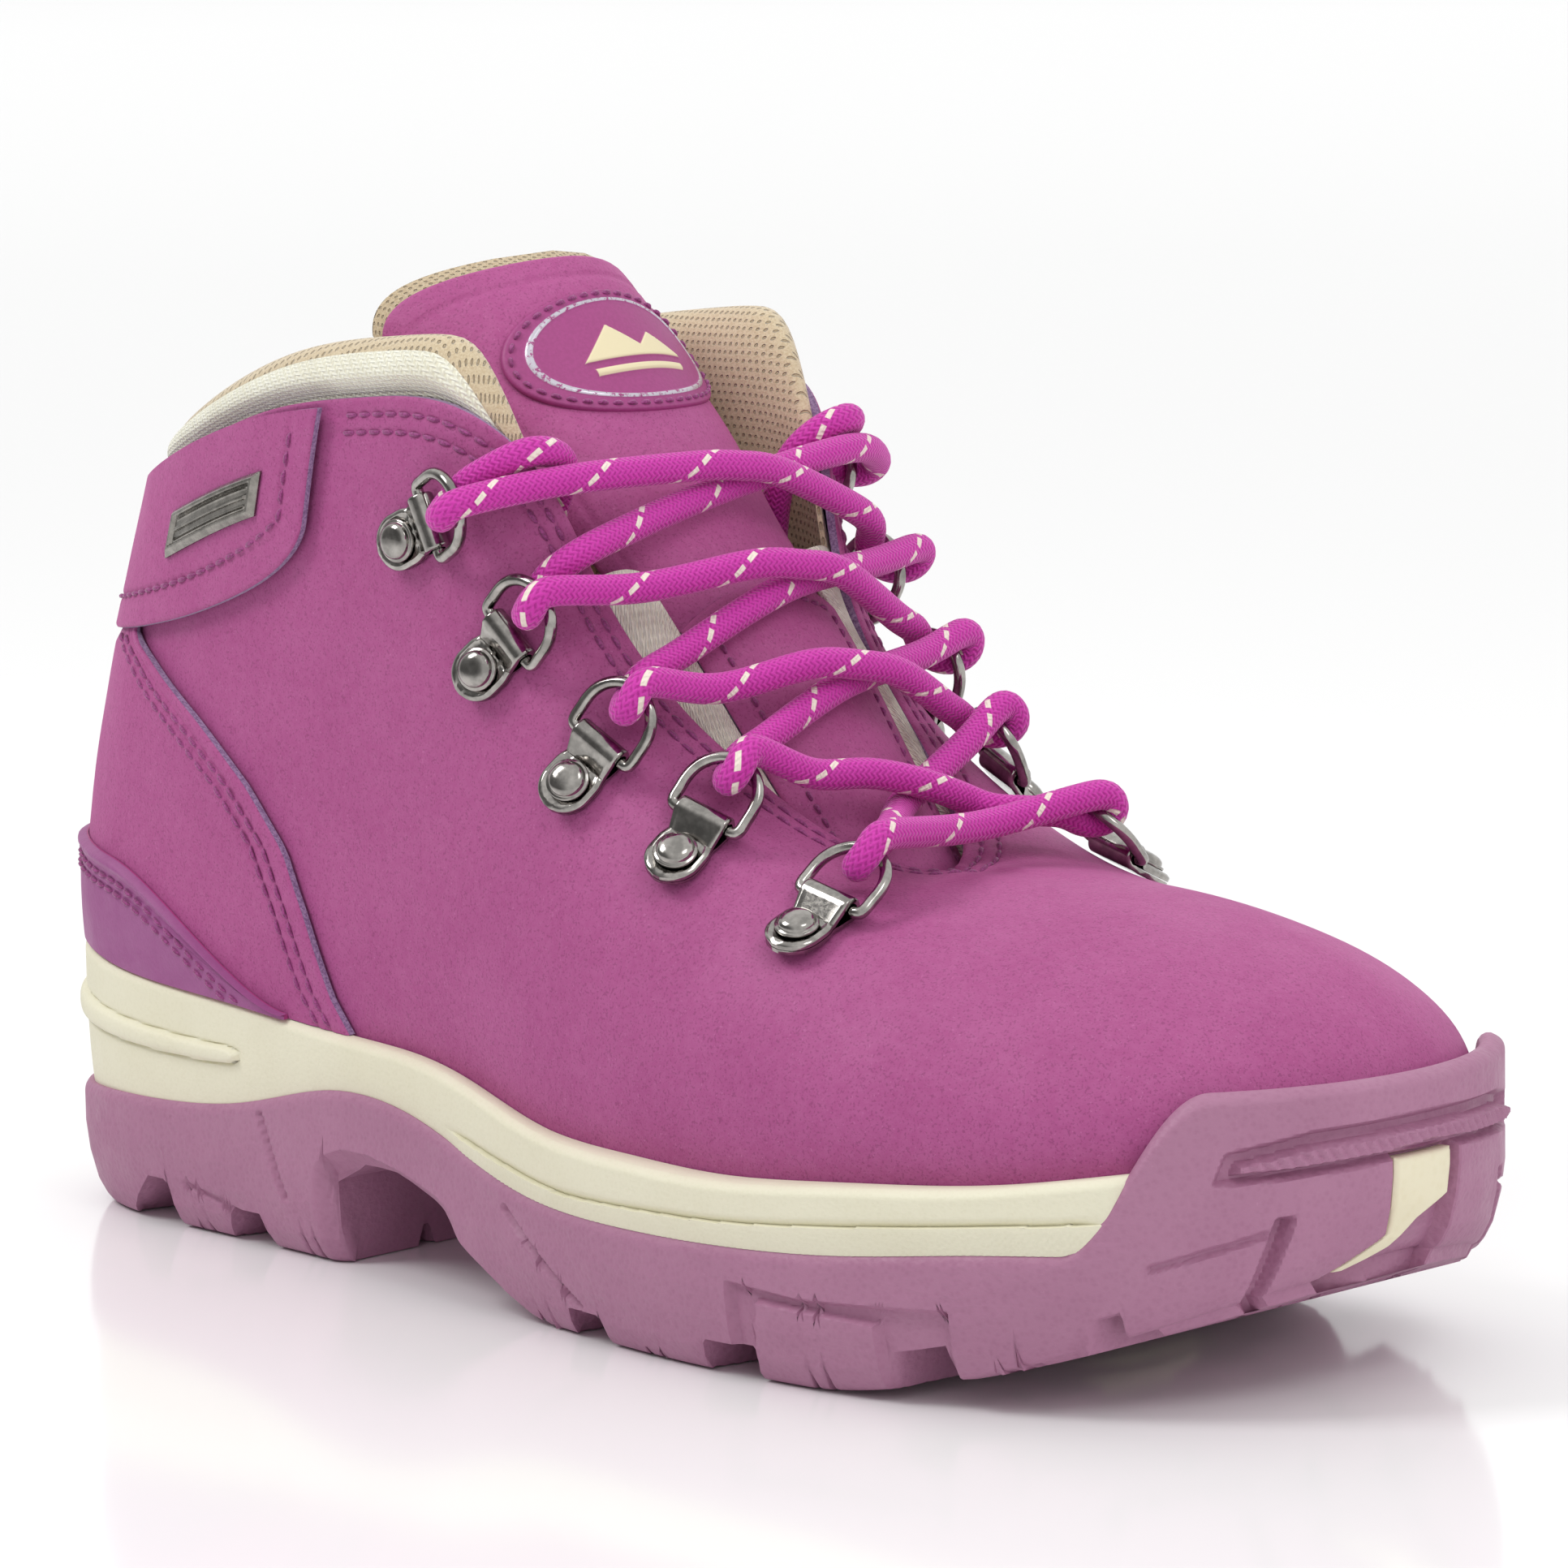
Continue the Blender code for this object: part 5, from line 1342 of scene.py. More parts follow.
def make_patch():
    """An oval patch: sewn border, a thin metallic line and plain peaks in relief."""
    theta = np.linspace(0, 2 * math.pi, 180, endpoint=False)[:, None]
    r = np.concatenate([np.linspace(0.02, 0.70, 60), np.linspace(0.72, 0.97, 24), [0.985, 1.0]])[None, :]
    degrees = PATCH_TURN * r * np.cos(theta)
    b = PATCH_B0 + PATCH_B * r * np.sin(theta)
    x, y = r * np.cos(theta) * PATCH_HALF[0], r * np.sin(theta) * PATCH_HALF[1]
    peaks = np.maximum(*(height - np.abs(x - middle) * slope for height, middle, slope in PEAKS))
    hill = np.clip((peaks - y) / 0.5 + 0.3, 0, 1) * np.clip((y - HILL_FOOT) / 0.4 + 0.3, 0, 1)
    bar = np.clip((BAR_HALF + 0.2 - np.abs(y - BAR_Y)) / 0.4, 0, 1)
    bar = bar * np.clip((9.0 - np.abs(x)) / 0.4, 0, 1)
    rim = np.clip(1.3 - np.abs(r - RIM_AT) / 0.03, 0, 1)
    lift = 0.85 + 0.25 * rim + 0.4 * np.maximum(hill, bar)
    lift -= 0.5 * np.clip((r - 0.97) / 0.03, 0, 1) ** 2
    ground = patch_ground(degrees, b) + 0.1
    outer, inner = tongue_at(degrees, b, ground + lift), tongue_at(degrees, b, ground)
    cols, rows = outer.shape[:2]
    back = cols * rows
    faces = np.concatenate([quads(cols, rows, True), quads(cols, rows, True, base=back)[:, ::-1]])
    around = np.arange(cols)
    after = (around + 1) % cols
    rim_faces = np.stack([around * rows + rows - 1, after * rows + rows - 1, back + after * rows + rows - 1,
                          back + around * rows + rows - 1], 1)
    all_faces = np.concatenate([faces, rim_faces]).tolist()
    all_faces += [(around * rows).tolist(), (back + around * rows)[::-1].tolist()]
    points = np.concatenate([outer.reshape(-1, 3), inner.reshape(-1, 3)])
    flat = np.tile(np.stack([x, y], -1).reshape(-1, 2), (2, 1))
    uv = np.concatenate([flat[face] for face in all_faces])
    piece("tongue_emblem", points, all_faces, [PATCH], "patch", body="tongue", uv=uv,
          stands_for=["tongue_patch"], sharp=60)


def make_gussets():
    """Fabric strips from the tongue's sides out under the throat's edges."""
    for side, tag in ((-1, "outer"), (1, "inner")):
        s = np.linspace(0, 1, 22)[:, None, None]
        b = np.linspace(0.18, 0.66, 90)
        start = tongue(side * 0.79 + 0 * b, b, GAP + 0.8)
        t = np.interp([instep(point)[0] for point in start], EDGE_LINE[:, 0], EDGE_T)
        t = t if side < 0 else 1 - t
        end = skin(t, 0.975 + 0 * t, -LEATHER - 0.6 + 0 * t)
        front = tongue(0 * b, b, 1.0) - tongue(0 * b, b, 0.0)
        swell = np.sin(math.pi * s) * (1.6 + 0.25 * np.sin(2 * math.pi * 5 * b)[None, :, None])
        outer = start * (1 - s) + end * s + swell * front
        strip = two_skins("gusset_webbing_" + tag, outer, outer - 0.8 * front, [CREAM_WEAVE] * 3,
                          "cream_fabric", body=None, stands_for=["gusset_" + tag], sharp=70)
        start, end = ((0, (side * across - MIDDLE[1]) * MM, 0) for across in (20.8, 15.5))
        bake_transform(strip)


# ---------------------------------------------------------------- clips
PLATE_HALF = PLATE_W / 2
TOP_POINTS = 22           # points along the plate's top layer
ROUND_AT = -0.6           # centre of the plate's rounded lower end, from the rivet
# The rivet's cap: radius and height, from its flange to the middle of its dome.
RIVET = [(3.45, 0.0), (3.55, 0.15), (3.55, 0.42), (3.42, 0.55), (3.12, 0.58), (3.02, 0.66), (2.98, 0.95),
         (2.85, 1.25), (2.55, 1.52), (2.1, 1.74), (1.5, 1.9), (0.85, 1.98), (0.25, 2.0)]


def plate_path():
    """Side view of the folded plate's middle line, from the top layer's end round the barrel and back."""
    radius = WIRE_R + GAP + PLATE_T / 2
    top = GAP + 1.5 * PLATE_T + 0.15
    low = GAP + PLATE_T / 2
    line = [(x, top) for x in np.linspace(ROUND_AT - PLATE_HALF, BAR_AT - 3.6, TOP_POINTS)]
    turn = np.linspace(math.pi - 0.75, -math.pi / 2 - 0.25, 22)
    line += [(BAR_AT + radius * math.cos(a), BAR_UP + radius * math.sin(a)) for a in turn]
    line += [(x, low) for x in np.linspace(BAR_AT - 2.8, ROUND_AT - PLATE_HALF, 16)]
    return np.array(line)


def make_plate(name, clip, node):
    path = plate_path()
    step = np.gradient(path, axis=0)
    step /= np.linalg.norm(step, axis=1, keepdims=True)
    normal = np.stack([-step[:, 1], step[:, 0]], 1)
    x = path[:, 0]
    end = np.clip(ROUND_AT - x, 0, PLATE_HALF - 0.05)
    half = np.sqrt(PLATE_HALF ** 2 - end ** 2)
    half -= 0.5 * np.exp(-((x - BAR_AT + 3.6) / 1.2) ** 2)
    y = np.array([-1, -0.985, -0.95, -0.9, -0.84, -0.8, -0.76, -0.6, -0.5, -0.4, -0.3, -0.2, -0.1, 0.0])
    y = np.concatenate([y, -y[-2::-1]])
    is_top = np.arange(len(x)) < TOP_POINTS
    from_end = PLATE_HALF - np.hypot(end[:, None], y[None, :] * half[:, None])
    from_side = (1 - np.abs(y))[None, :] * half[:, None]
    to_rim = np.minimum(from_side, np.where(end[:, None] > 0, from_end, 99))
    bevel = -0.25 * (1 - np.clip(to_rim / 0.35, 0, 1)) ** 2
    rim = 0.22 * np.exp(-((to_rim - 0.75) / 0.3) ** 2) * is_top[:, None]
    ticks = 0.3 * np.clip(1.4 * np.cos(2 * math.pi * y[None, :] * half[:, None] / 1.9) - 0.4, 0, 1)
    ticks = ticks * np.exp(-((x - BAR_AT + 4.6) / 0.8) ** 4)[:, None] * is_top[:, None] * (to_rim > 1.1)
    top = PLATE_T / 2 + bevel + rim + ticks

    def layer(offset):
        points = np.stack([x[:, None] + normal[:, :1] * offset, y[None, :] * half[:, None] + 0 * offset,
                           path[:, 1:] + normal[:, 1:] * offset], -1)
        return placed(clip, points.reshape(-1, 3)).reshape(points.shape)
    two_skins(name, layer(top), layer(-PLATE_T / 2 + 0 * top), [METAL] * 3, "metal", stands_for=[node],
              sharp=40)


def make_rivet(name, clip, node):
    base = 2 * GAP + 2 * PLATE_T + 0.15
    sides = 40
    angle = np.linspace(0, 2 * math.pi, sides, endpoint=False)
    points = [(r * math.cos(a), r * math.sin(a), base + up) for a in angle for r, up in RIVET]
    rows = len(RIVET)
    faces = quads(sides, rows, True).tolist()
    faces += [[k * rows for k in range(sides)], [k * rows + rows - 1 for k in range(sides)]]
    piece(name, placed(clip, points), faces, [METAL], "metal", stands_for=[node], sharp=50)


def make_ring(name, clip, node):
    hinge, out, _ = ring_axes(clip)
    s = clip[2]
    half = RING_W / 2
    straight = RING_L - half
    path = [(-half + 1.3, 0), (-half * 0.45, 0), (0, 0), (half * 0.45, 0), (half - 1.3, 0),
            (half - 0.3, 0.35), (half, 1.3), (half, straight * 0.6)]
    bow = np.linspace(0.05, math.pi - 0.05, 12)
    path += [(half * math.cos(a), straight + half * math.sin(a)) for a in bow]
    path += [(-half, straight * 0.6), (-half, 1.3), (-half + 0.3, 0.35)]
    points = along_curve([hinge + s * x + out * y for x, y in path], 0.45, closed=True)
    sweep(name, points, WIRE_R, 16, [METAL], "metal", closed=True, body=node, stands_for=[node])


def make_clips():
    for inner in (False, True):
        for number in range(len(CLIPS)):
            clip = clip_frame(number, inner)
            tag = f"{'inner' if inner else 'outer'}_{number + 1}"
            make_plate("plate_" + tag, clip, "clip_plate_" + tag)
            make_rivet("rivet_" + tag, clip, "clip_rivet_" + tag)
            make_ring("ring_" + tag, clip, "d_ring_" + tag)


# ---------------------------------------------------------------- sole
ROUND = 1320              # columns round the sole
BUMPER_X = (262.0, 274.0)             # the outline's x over which the toe bumper begins
SOLE_MM = 600             # millimetres for one unit of t round the sole
TREAD_ACROSS = 110        # cells across the tread
# Grooves at the tread's rim: start, end, depth and length of the slope into each.
SIDE_GROOVES = [(27.0, 42.6, 8.5, 10.0), (57.0, 68.5, 6.0, 3.0), (156.5, 166.5, 5.0, 1.5),
                (191.0, 203.0, 5.5, 1.5), (228.5, 240.5, 6.0, 2.0), (260.0, 266.5, 5.0, 1.5)]
# The arch under the midfoot: places along the boot, and its height at each.
ARCH = ((87.4, 88.6, 97, 108, 120, 134, 145, 150), (0, 14.5, 18.5, 19, 14.5, 7, 1.2, 0))
SIPES = (50.0, 81.0, 149.5, 178.5, 216.0, 250.0)     # where pairs of slits cut the rim


def step_in(x, start, width=0.7):
    return np.clip((x - start) / width + 0.5, 0, 1)


def tread(x, share):
    """Depth of the tread's hollows: x along the boot, share -1 at the outer rim to 1 at the inner."""
    side = np.abs(share)
    moved = x - np.where(share > 0, 3.0, 0.0)
    depth = np.interp(x, *ARCH)
    lean = 9.0 * (1 - side) ** 1.2
    at_side = step_in(side, 0.50, 0.03)
    for start, end, deep, slope in SIDE_GROOVES:
        shape = np.clip((moved - lean - start) / slope, 0, 1) * (1 - step_in(moved - lean, end))
        depth = np.maximum(depth, deep * shape * at_side)
        middle = step_in(moved + lean, start + 14, 0.9) * (1 - step_in(moved + lean, start + 20, 0.9))
        depth = np.maximum(depth, 4.0 * middle * (1 - step_in(side, 0.42, 0.03)))
    channel = step_in(side, 0.41, 0.03) * (1 - step_in(side, 0.49, 0.03))
    depth = np.maximum(depth, 3.6 * channel * step_in(x, 9.0, 1.0) * (1 - step_in(x, 272.0, 1.0)))
    for at in SIPES:
        slit = np.clip(1.25 - np.abs(np.abs(moved - at) - 1.7) / 0.4, 0, 1) * step_in(side, 0.86, 0.02)
        depth = np.maximum(depth, 3.8 * slit)
    return depth


def sole_inset(t, z):
    """How far the sole's wall stands inside its outline, by height."""
    low, top = ground_line(outline_x(t)), outsole_top(t)
    bumper = smoothstep(outline_x(t), *BUMPER_X)
    up = z - low
    under = np.interp(up, [0, 0.4, 1.5, 4.0, 9.0, 14.0], [5.0, 4.1, 3.2, 1.9, 0.6, 0.0])
    lip = (0.8 + 1.2 * bumper) * np.clip((z - top + 2.2) / 2.2, 0, 1) ** 2.5
    return under + lip


# Straight furrows on the wall: two ends as (t, z), half width and depth.
FURROWS = [((0.1191, 24.0), (0.1275, 9.5), 0.45, 0.9), ((0.2322, 18.8), (0.2653, 5.5), 0.6, 1.1),
           ((0.0935, 8.6), (0.1105, 5.2), 0.45, 0.7), ((0.4308, 23.8), (0.4567, 28.4), 0.5, 0.9)]


def line_cut(t, z, first, last, half, deep):
    """A straight furrow on the wall from one (t, z) to another."""
    along = np.array([(last[0] - first[0]) * SOLE_MM, last[1] - first[1]])
    length = np.linalg.norm(along)
    along /= length
    dt, dz = (t - first[0]) * SOLE_MM, z - first[1]
    run = dt * along[0] + dz * along[1]
    off = np.abs(dt * -along[1] + dz * along[0])
    within = step_in(run, 0, 0.8) * (1 - step_in(run, length, 0.8))
    return -deep * np.clip(1.6 - off / half, 0, 1) * within


TOE_LEFT = 0.4447         # the toe recess's end, on the outer side
CHANNEL = (0.4885, 0.5115)                          # the toe insert's channel


def channel_left(z):
    return CHANNEL[0] - 0.0185 * np.clip((25.8 - z) / 6.5, 0, 1)


def recess_band(t):
    """Lowest and highest point of the recess round the toe."""
    u = 0.5 - np.abs(t - 0.5)
    low = np.interp(u, [TOE_LEFT, 0.4634, 0.4842, 0.5], [36.4, 36.9, 37.6, 38.3])
    high = np.interp(u, [TOE_LEFT, 0.4671, 0.4887, 0.5], [40.6, 43.3, 43.8, 43.9])
    return low, high


def wall_relief(t, z):
    """Moulded details of the outsole's wall, outwards positive; the same on both sides of the foot."""
    u = from_heel(t)
    x = outline_x(u)
    out = sum(line_cut(u, z, *furrow) for furrow in FURROWS)
    scoop_top = np.interp(x, [84, 88, 93, 101, 111, 121, 128], [15.0, 19.0, 20.8, 21.0, 19.6, 17.2, 14.0])
    inside = np.clip((scoop_top - z) / 3.5, 0, 1) * smoothstep(x, 84.5, 90.0)
    inside = inside * (1 - smoothstep(x, 116.0, 128.0))
    out = out - 3.4 * inside ** 0.8 * (x > 84)
    panel = step_in(u, 0.3235, 0.0012) * (1 - step_in(u, 0.3858, 0.0012))
    top = np.interp(u, [0.3235, 0.345, 0.3858], [15.6, 14.6, 15.8])
    lug_top = np.interp(u, [0.333, 0.366], [13.4, 12.6])
    lug = step_in(u, 0.3320 - 0.002 * (13.4 - z) / 8, 0.0012) * (1 - step_in(u, 0.3670, 0.0012))
    lug = lug * step_in(lug_top, z, 0.7)
    out = out - 1.5 * panel * step_in(top, z, 0.7) * (1 - lug)
    notch_at = 0.4605 - 0.0050 * (30.5 - z) / 11.0
    notch = np.clip(1.5 - np.abs(u - notch_at) / 0.0018, 0, 1) * step_in(30.6, z, 0.8)
    out = out - 3.0 * notch
    low, high = recess_band(t)
    slanted = TOE_LEFT + 0.0025 * (z - 36.4) / 4.2
    recess = step_in(u, slanted, 0.0012) * step_in(z, low, 0.9) * step_in(high, z, 0.9)
    bar_low, bar_high = low + 1.15, high - 1.9
    middle, reach = (bar_low + bar_high) / 2, (bar_high - bar_low) / 2
    bar = step_in(u, slanted + 0.0035, 0.0012) * np.clip((reach - np.abs(z - middle)) / 0.5 + 0.2, 0, 1)
    ribs = 0.28 * np.sin(2 * math.pi * (t * 640 + (z - middle) * 0.75) / 2.0)
    out = out - 1.8 * recess + (2.4 + ribs) * bar * recess
    in_channel = step_in(t, channel_left(z), 0.001) * (1 - step_in(t, CHANNEL[1], 0.001))
    in_channel = in_channel * step_in(38.2, z, 0.6)
    return np.where(in_channel > 0.02, np.minimum(out, -3.0 * in_channel * (1 - bar * recess)), out)


def sole_wall(t, z):
    plan = plan_inset(OUTLINE, t, sole_inset(t, z) - wall_relief(t, z))
    return np.concatenate([plan, z[..., None]], -1)


def make_outsole():
    t = columns(ROUND)
    share = np.where(t <= 0.5, -1.0, 1.0)
    rim_x = outline_x(t)
    low = ground_line(rim_x) + tread(rim_x, share)
    top = outsole_top(t)
    low = np.minimum(low, top - 2.0)
    climb = np.concatenate([[0, 0.004, 0.012], np.linspace(0.022, 1.0, 89)])[None, :]
    z = low[:, None] + (top - low)[:, None] * climb
    outer = sole_wall(t[:, None] + 0 * z, z)
    bumper = smoothstep(rim_x, *BUMPER_X)
    inner_rows = []
    lip = ((1.9, top), (2.6, top - 0.35), (3.1, top - 1.0), (3.6, np.minimum(top - 1.6, SEAT(t) - 1.2)))
    for inset, height in lip:
        plan = plan_inset(OUTLINE, t, inset + 0.9 * bumper)
        inner_rows.append(np.concatenate([plan, height[:, None]], 1))
    grid = np.concatenate([outer, np.stack(inner_rows, 1)], 1)
    cols, wall_rows = grid.shape[:2]
    faces = quads(cols, wall_rows, True).tolist()
    faces += across_foot(cols, wall_rows, wall_rows - 1)
    half = cols // 2
    rim_outer = grid[1:half, 0]
    rim_inner = grid[cols - 1:half:-1, 0]
    s = np.linspace(0, 1, TREAD_ACROSS + 1)[1:-1]
    plan = rim_outer[:, None, :2] * (1 - s)[None, :, None] + rim_inner[:, None, :2] * s[None, :, None]
    depth = tread(plan[..., 0], 2 * s[None, :] - 1)
    edge = np.minimum(s, 1 - s)[None, :] * np.linalg.norm(rim_inner - rim_outer, axis=1)[:, None]
    height = ground_line(plan[..., 0]) + depth
    blend_in = np.clip(edge / 1.5, 0, 1)
    rim_z = np.where(s < 0.5, rim_outer[:, None, 2], rim_inner[:, None, 2])
    height = rim_z + (height - rim_z) * blend_in
    height = np.minimum(height, SEAT(t[1:half])[:, None] - 4.0)
    under = np.concatenate([plan, height[..., None]], -1)
    base = cols * wall_rows
    inside = TREAD_ACROSS - 1

    def index(i, j):
        if i == 0 or i == half:
            return (i % cols) * wall_rows
        if j == 0:
            return i * wall_rows
        if j == TREAD_ACROSS:
            return (cols - i) * wall_rows
        return base + (i - 1) * inside + j - 1
    for i in range(half):
        for j in range(TREAD_ACROSS):
            corners = [index(i, j), index(i, j + 1), index(i + 1, j + 1), index(i + 1, j)]
            unique = list(dict.fromkeys(corners))
            if len(unique) > 2:
                faces.append(unique)
    points = np.concatenate([grid.reshape(-1, 3), under.reshape(-1, 3)])
    piece("rubber_outsole", points, faces, [OUTSOLE], "outsole", stands_for=["outsole"], sharp=32)


def make_tread_inserts():
    """Cream rubber set into the toe's channel and under the forefoot."""
    z = np.linspace(37.5, 20.6, 70)[:, None]
    s = np.linspace(0, 1, 24)[None, :]
    right = np.interp(z, [20.6, 23.5, 27.4, 30.4, 37.5], [0.4790, 0.4915, 0.4991, 0.5094, 0.5094])
    left = channel_left(z) + 0.0009
    t = left + (right - left) * s
    ground = ground_line(outline_x(t)) + 0.3
    zz = np.maximum(z + 0 * s, ground)
    to_side = np.minimum(s, 1 - s) * (right - left) * SOLE_MM
    to_end = np.minimum(37.5 - zz, 30.0)
    rounding = -0.5 * (1 - np.clip(np.minimum(to_side, to_end) / 0.7, 0, 1)) ** 2
    outer, inner = (np.concatenate([plan_inset(OUTLINE, t, sole_inset(t, zz) + inset), zz[..., None]], -1)
                    for inset in (0.5 - rounding, 2.9))
    two_skins("toe_insert", outer, inner, [CREAM_RUBBER] * 3, "midsole", stands_for=["toe_tread_insert"],
              sharp=50)
    low, high = (np.array(corner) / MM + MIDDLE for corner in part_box("forefoot_tread_insert"))
    length, width, _ = high - low
    a, b = np.meshgrid(np.linspace(0, 1, 40), np.linspace(0, 1, 60), indexing="ij")
    x = low[0] + length * a + 2.5 * np.sin(math.pi * b)
    y = low[1] + width * b
    rib = 0.35 * np.cos(2 * math.pi * a * length / 4.3)
    to_rim = np.minimum(np.minimum(a, 1 - a) * length, np.minimum(b, 1 - b) * width)
    bottom = low[2] - 0.5 + rib + 1.0 * (1 - np.clip(to_rim / 1.0, 0, 1)) ** 2
    two_skins("forefoot_insert", np.stack([x, y, bottom], -1), np.stack([x, y, high[2] + 0 * x], -1),
              [CREAM_RUBBER] * 3, "midsole", stands_for=["forefoot_tread_insert"], sharp=50)


def midsole_relief(t, share):
    """Moulded details of the midsole's wall; share goes from its top edge (0) to the outsole (1)."""
    u = from_heel(t)
    taper = u / 0.11
    middle = 0.355 + 0.170 * taper
    reach = 0.105 - 0.022 * taper
    within = np.clip((0.113 - u) * SOLE_MM, 0, 3.0) / 3.0
    reach = reach * np.sqrt(np.clip(within * (2 - within), 0, 1)) + 1e-4
    across = np.abs(share - middle) / reach
    bar = np.sqrt(np.clip(1 - across ** 2.5, 0, 1)) * (u < 0.113)
    furrow = np.exp(-((across - 1.06) / 0.13) ** 2) * (u < 0.115)
    out = 1.25 * bar - 0.45 * furrow
    line = np.interp(u, [0.199, 0.235, 0.262, 0.297, 0.35, 0.37, 0.397, 0.42],
                     [0.81, 0.73, 0.74, 0.66, 0.58, 0.57, 0.56, 0.60])
    fade = smoothstep(u, 0.197, 0.212) * (1 - smoothstep(u, 0.415, 0.424))
    above = np.clip((line - share) / 0.16, 0, 1)
    hollow = -0.95 * (1 - above) ** 2 * (share < line)
    below = share >= line
    knurl = 0.10 * np.sin(2 * math.pi * (t * 620 + share * 9.0) / 1.25)
    return out + fade * np.where(below, 0.35 + knurl * smoothstep(share, line, line + 0.1), hollow)


def make_midsole():
    t = columns(ROUND)
    top_z, seat, edge = FEATHER(t)[:, 2], SEAT(t), outsole_top(t)
    top_x = outline_x(t)
    hidden = smoothstep(top_x, 264.0, BUMPER_X[1])[:, None]
    share = np.linspace(1, 0, 62)[None, :]
    low = np.minimum(seat + GAP, edge)
    z = top_z[:, None] - share * (top_z - low)[:, None]
    lip = 1.3 * (1 - np.clip((top_z[:, None] - z) / 1.6, 0, 1)) ** 2.2
    bow = 0.9 * share ** 3 + 0.1 + 0.8 * (1 - smoothstep(top_x, 5.0, 40.0))[:, None]
    everywhere = t[:, None] + 0 * z
    inset = lip + bow - midsole_relief(everywhere, share + 0 * z) * (1 - hidden)
    full = plan_inset(OUTLINE, everywhere, inset)
    inside = plan_inset(FEATHER, everywhere, -0.5 + 0 * z)
    plan = full * (1 - hidden[..., None]) + inside * hidden[..., None]
    rows = []
    for out, drop in ((0.9, -0.02), (0.35, 0.25), (0.3, WELT_DEPTH + 0.3)):
        ring = plan_inset(FEATHER, t, -out + 0 * t)
        rows.append(np.concatenate([ring, (top_z - drop)[:, None]], 1))
    grid = np.concatenate([np.concatenate([plan, z[..., None]], -1), np.stack(rows, 1)], 1)
    cols, count = grid.shape[:2]
    faces = quads(cols, count, True).tolist()
    faces += across_foot(cols, count, 0) + across_foot(cols, count, count - 1)
    piece("midsole_foam", grid.reshape(-1, 3), faces, [MIDSOLE], "midsole", stands_for=["midsole"], sharp=45)


# ---------------------------------------------------------------- inside
def make_footbed():
    """A cupped, fabric-covered footbed in the space of its CAD plate."""
    t = columns(160)
    floor = FEATHER(t)[:, 2] - WELT_DEPTH
    low, high = 2 * GAP + 1.6, 2 * GAP + 5.2
    rings = ((0.5, low), (0.0, low + 0.4), (0.0, high - 0.4), (0.5, high), (1.2, high - 0.2),
             (3.0, high - 0.9), (7.0, high - 1.3))
    grid = np.stack([np.concatenate([plan_inset(FEATHER, t, 5.6 + inset + 0 * t), (floor + up)[:, None]], 1)
                     for inset, up in rings], 1)
    cols, rows = grid.shape[:2]
    faces = quads(cols, rows, True).tolist()
    faces += across_foot(cols, rows, 0) + across_foot(cols, rows, rows - 1)
    corners = np.concatenate([grid.reshape(-1, 3)[face][:, :2] for face in faces])
    bed = piece("footbed_pad", grid.reshape(-1, 3), faces, [TAN_MESH], "tan_mesh", uv=corners,
                stands_for=["footbed"], sharp=70)


def finish_hidden_nodes():
    for node, finish in (("insole_board", BOARD), ("shank", STEEL), ("heel_counter", STIFFENER),
                         ("toe_puff", STIFFENER), ("collar_foam", FOAM)):
        obj = frame["nodes"][node]
        for place in obj.material_slots:
            place.material = finish.material
        if not obj.material_slots:
            obj.data.materials.append(finish.material)


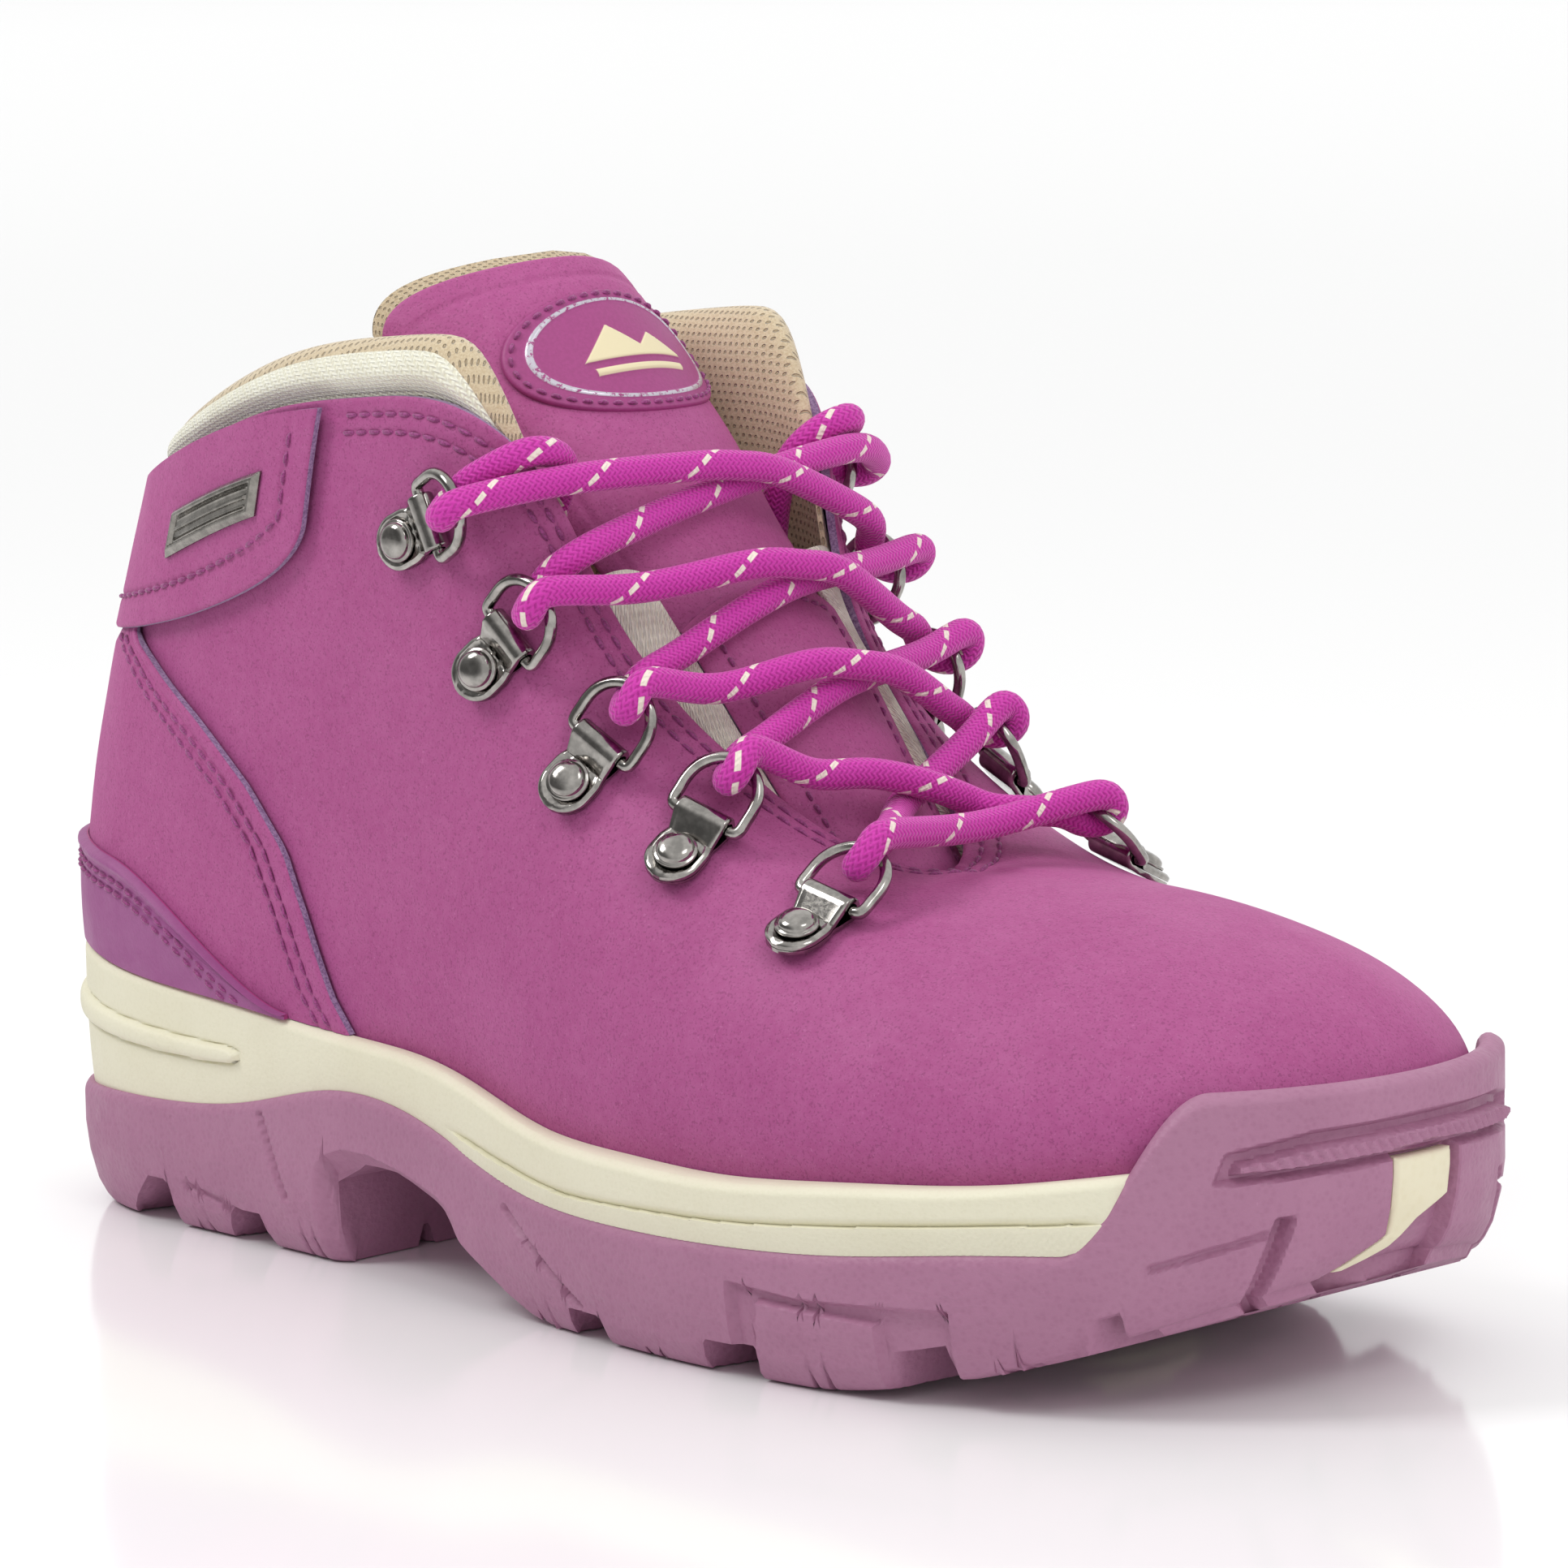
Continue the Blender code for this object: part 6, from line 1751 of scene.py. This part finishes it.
# ---------------------------------------------------------------- floor and light
def make_floor():
    f = Finish("studio_floor", roughness=0.12)
    f.set("Base Color", srgb(249, 249, 249))
    f.set("Specular IOR Level", 0.35)
    mesh = bpy.data.meshes.new("floor")
    reach = 8.0
    corners = [(-reach, -reach, 0), (reach, -reach, 0), (reach, reach, 0), (-reach, reach, 0)]
    mesh.from_pydata(corners, [], [(0, 1, 2, 3)])
    mesh.materials.append(f.material)
    floor = bpy.data.objects.new("floor", mesh)
    floor.location.z = -0.0002
    bpy.context.scene.collection.objects.link(floor)


def area_light(name, place, target, size, watts):
    data = bpy.data.lights.new(name, "AREA")
    data.shape = "RECTANGLE"
    data.size, data.size_y = size
    data.energy = watts
    light = bpy.data.objects.new(name, data)
    away = np.array(place, float) - np.array(target, float)
    z = away / np.linalg.norm(away)
    x = np.cross((0.0, 0.0, 1.0), z)
    x /= np.linalg.norm(x)
    light.matrix_world = placed_axes(x, np.cross(z, x), z, place)
    bpy.context.scene.collection.objects.link(light)


DARK_SIDE = (-0.507, -0.861, 0.05)        # the studio's dark side, which the metal mirrors
DARK_LOBE = (0.45, 0.9, 1.0, 0.2)         # the dot products where it begins and is full, and the light there


def make_light():
    """A white room with one dark side, a key light and a fill."""
    world = bpy.data.worlds.new("studio")
    world.use_nodes = True
    back = world.node_tree.nodes["Background"]
    tree = world.node_tree
    kinds = ("TexCoord", "VectorMath", "MapRange")
    source, lobe, shade = (tree.nodes.new("ShaderNode" + kind) for kind in kinds)
    lobe.operation = "DOT_PRODUCT"
    lobe.inputs[1].default_value = DARK_SIDE
    shade.interpolation_type = "SMOOTHSTEP"
    for socket, value in zip(list(shade.inputs)[1:5], DARK_LOBE):
        socket.default_value = value
    tree.links.new(source.outputs["Generated"], lobe.inputs[0])
    tree.links.new(lobe.outputs["Value"], shade.inputs[0])
    tree.links.new(shade.outputs[0], back.inputs["Strength"])
    back.inputs["Color"].default_value = (1, 1, 1, 1)
    bpy.context.scene.world = world
    bpy.context.scene.view_settings.view_transform = "Standard"
    area_light("key", (-0.45, -0.65, 0.95), (0, 0, 0.08), (0.35, 0.5), 5.6)
    area_light("fill", (0.9, -0.2, 1.0), (0.05, 0, 0.06), (0.4, 0.4), 2.0)


# ---------------------------------------------------------------- run
make_camera()
make_lace()
make_upper()
make_heel_pieces()
make_badge()
make_collar()
make_tongue()
make_tongue_stitches()
make_patch()
make_gussets()
make_clips()
make_outsole()
make_tread_inserts()
make_midsole()
make_footbed()
finish_hidden_nodes()
make_floor()
make_light()
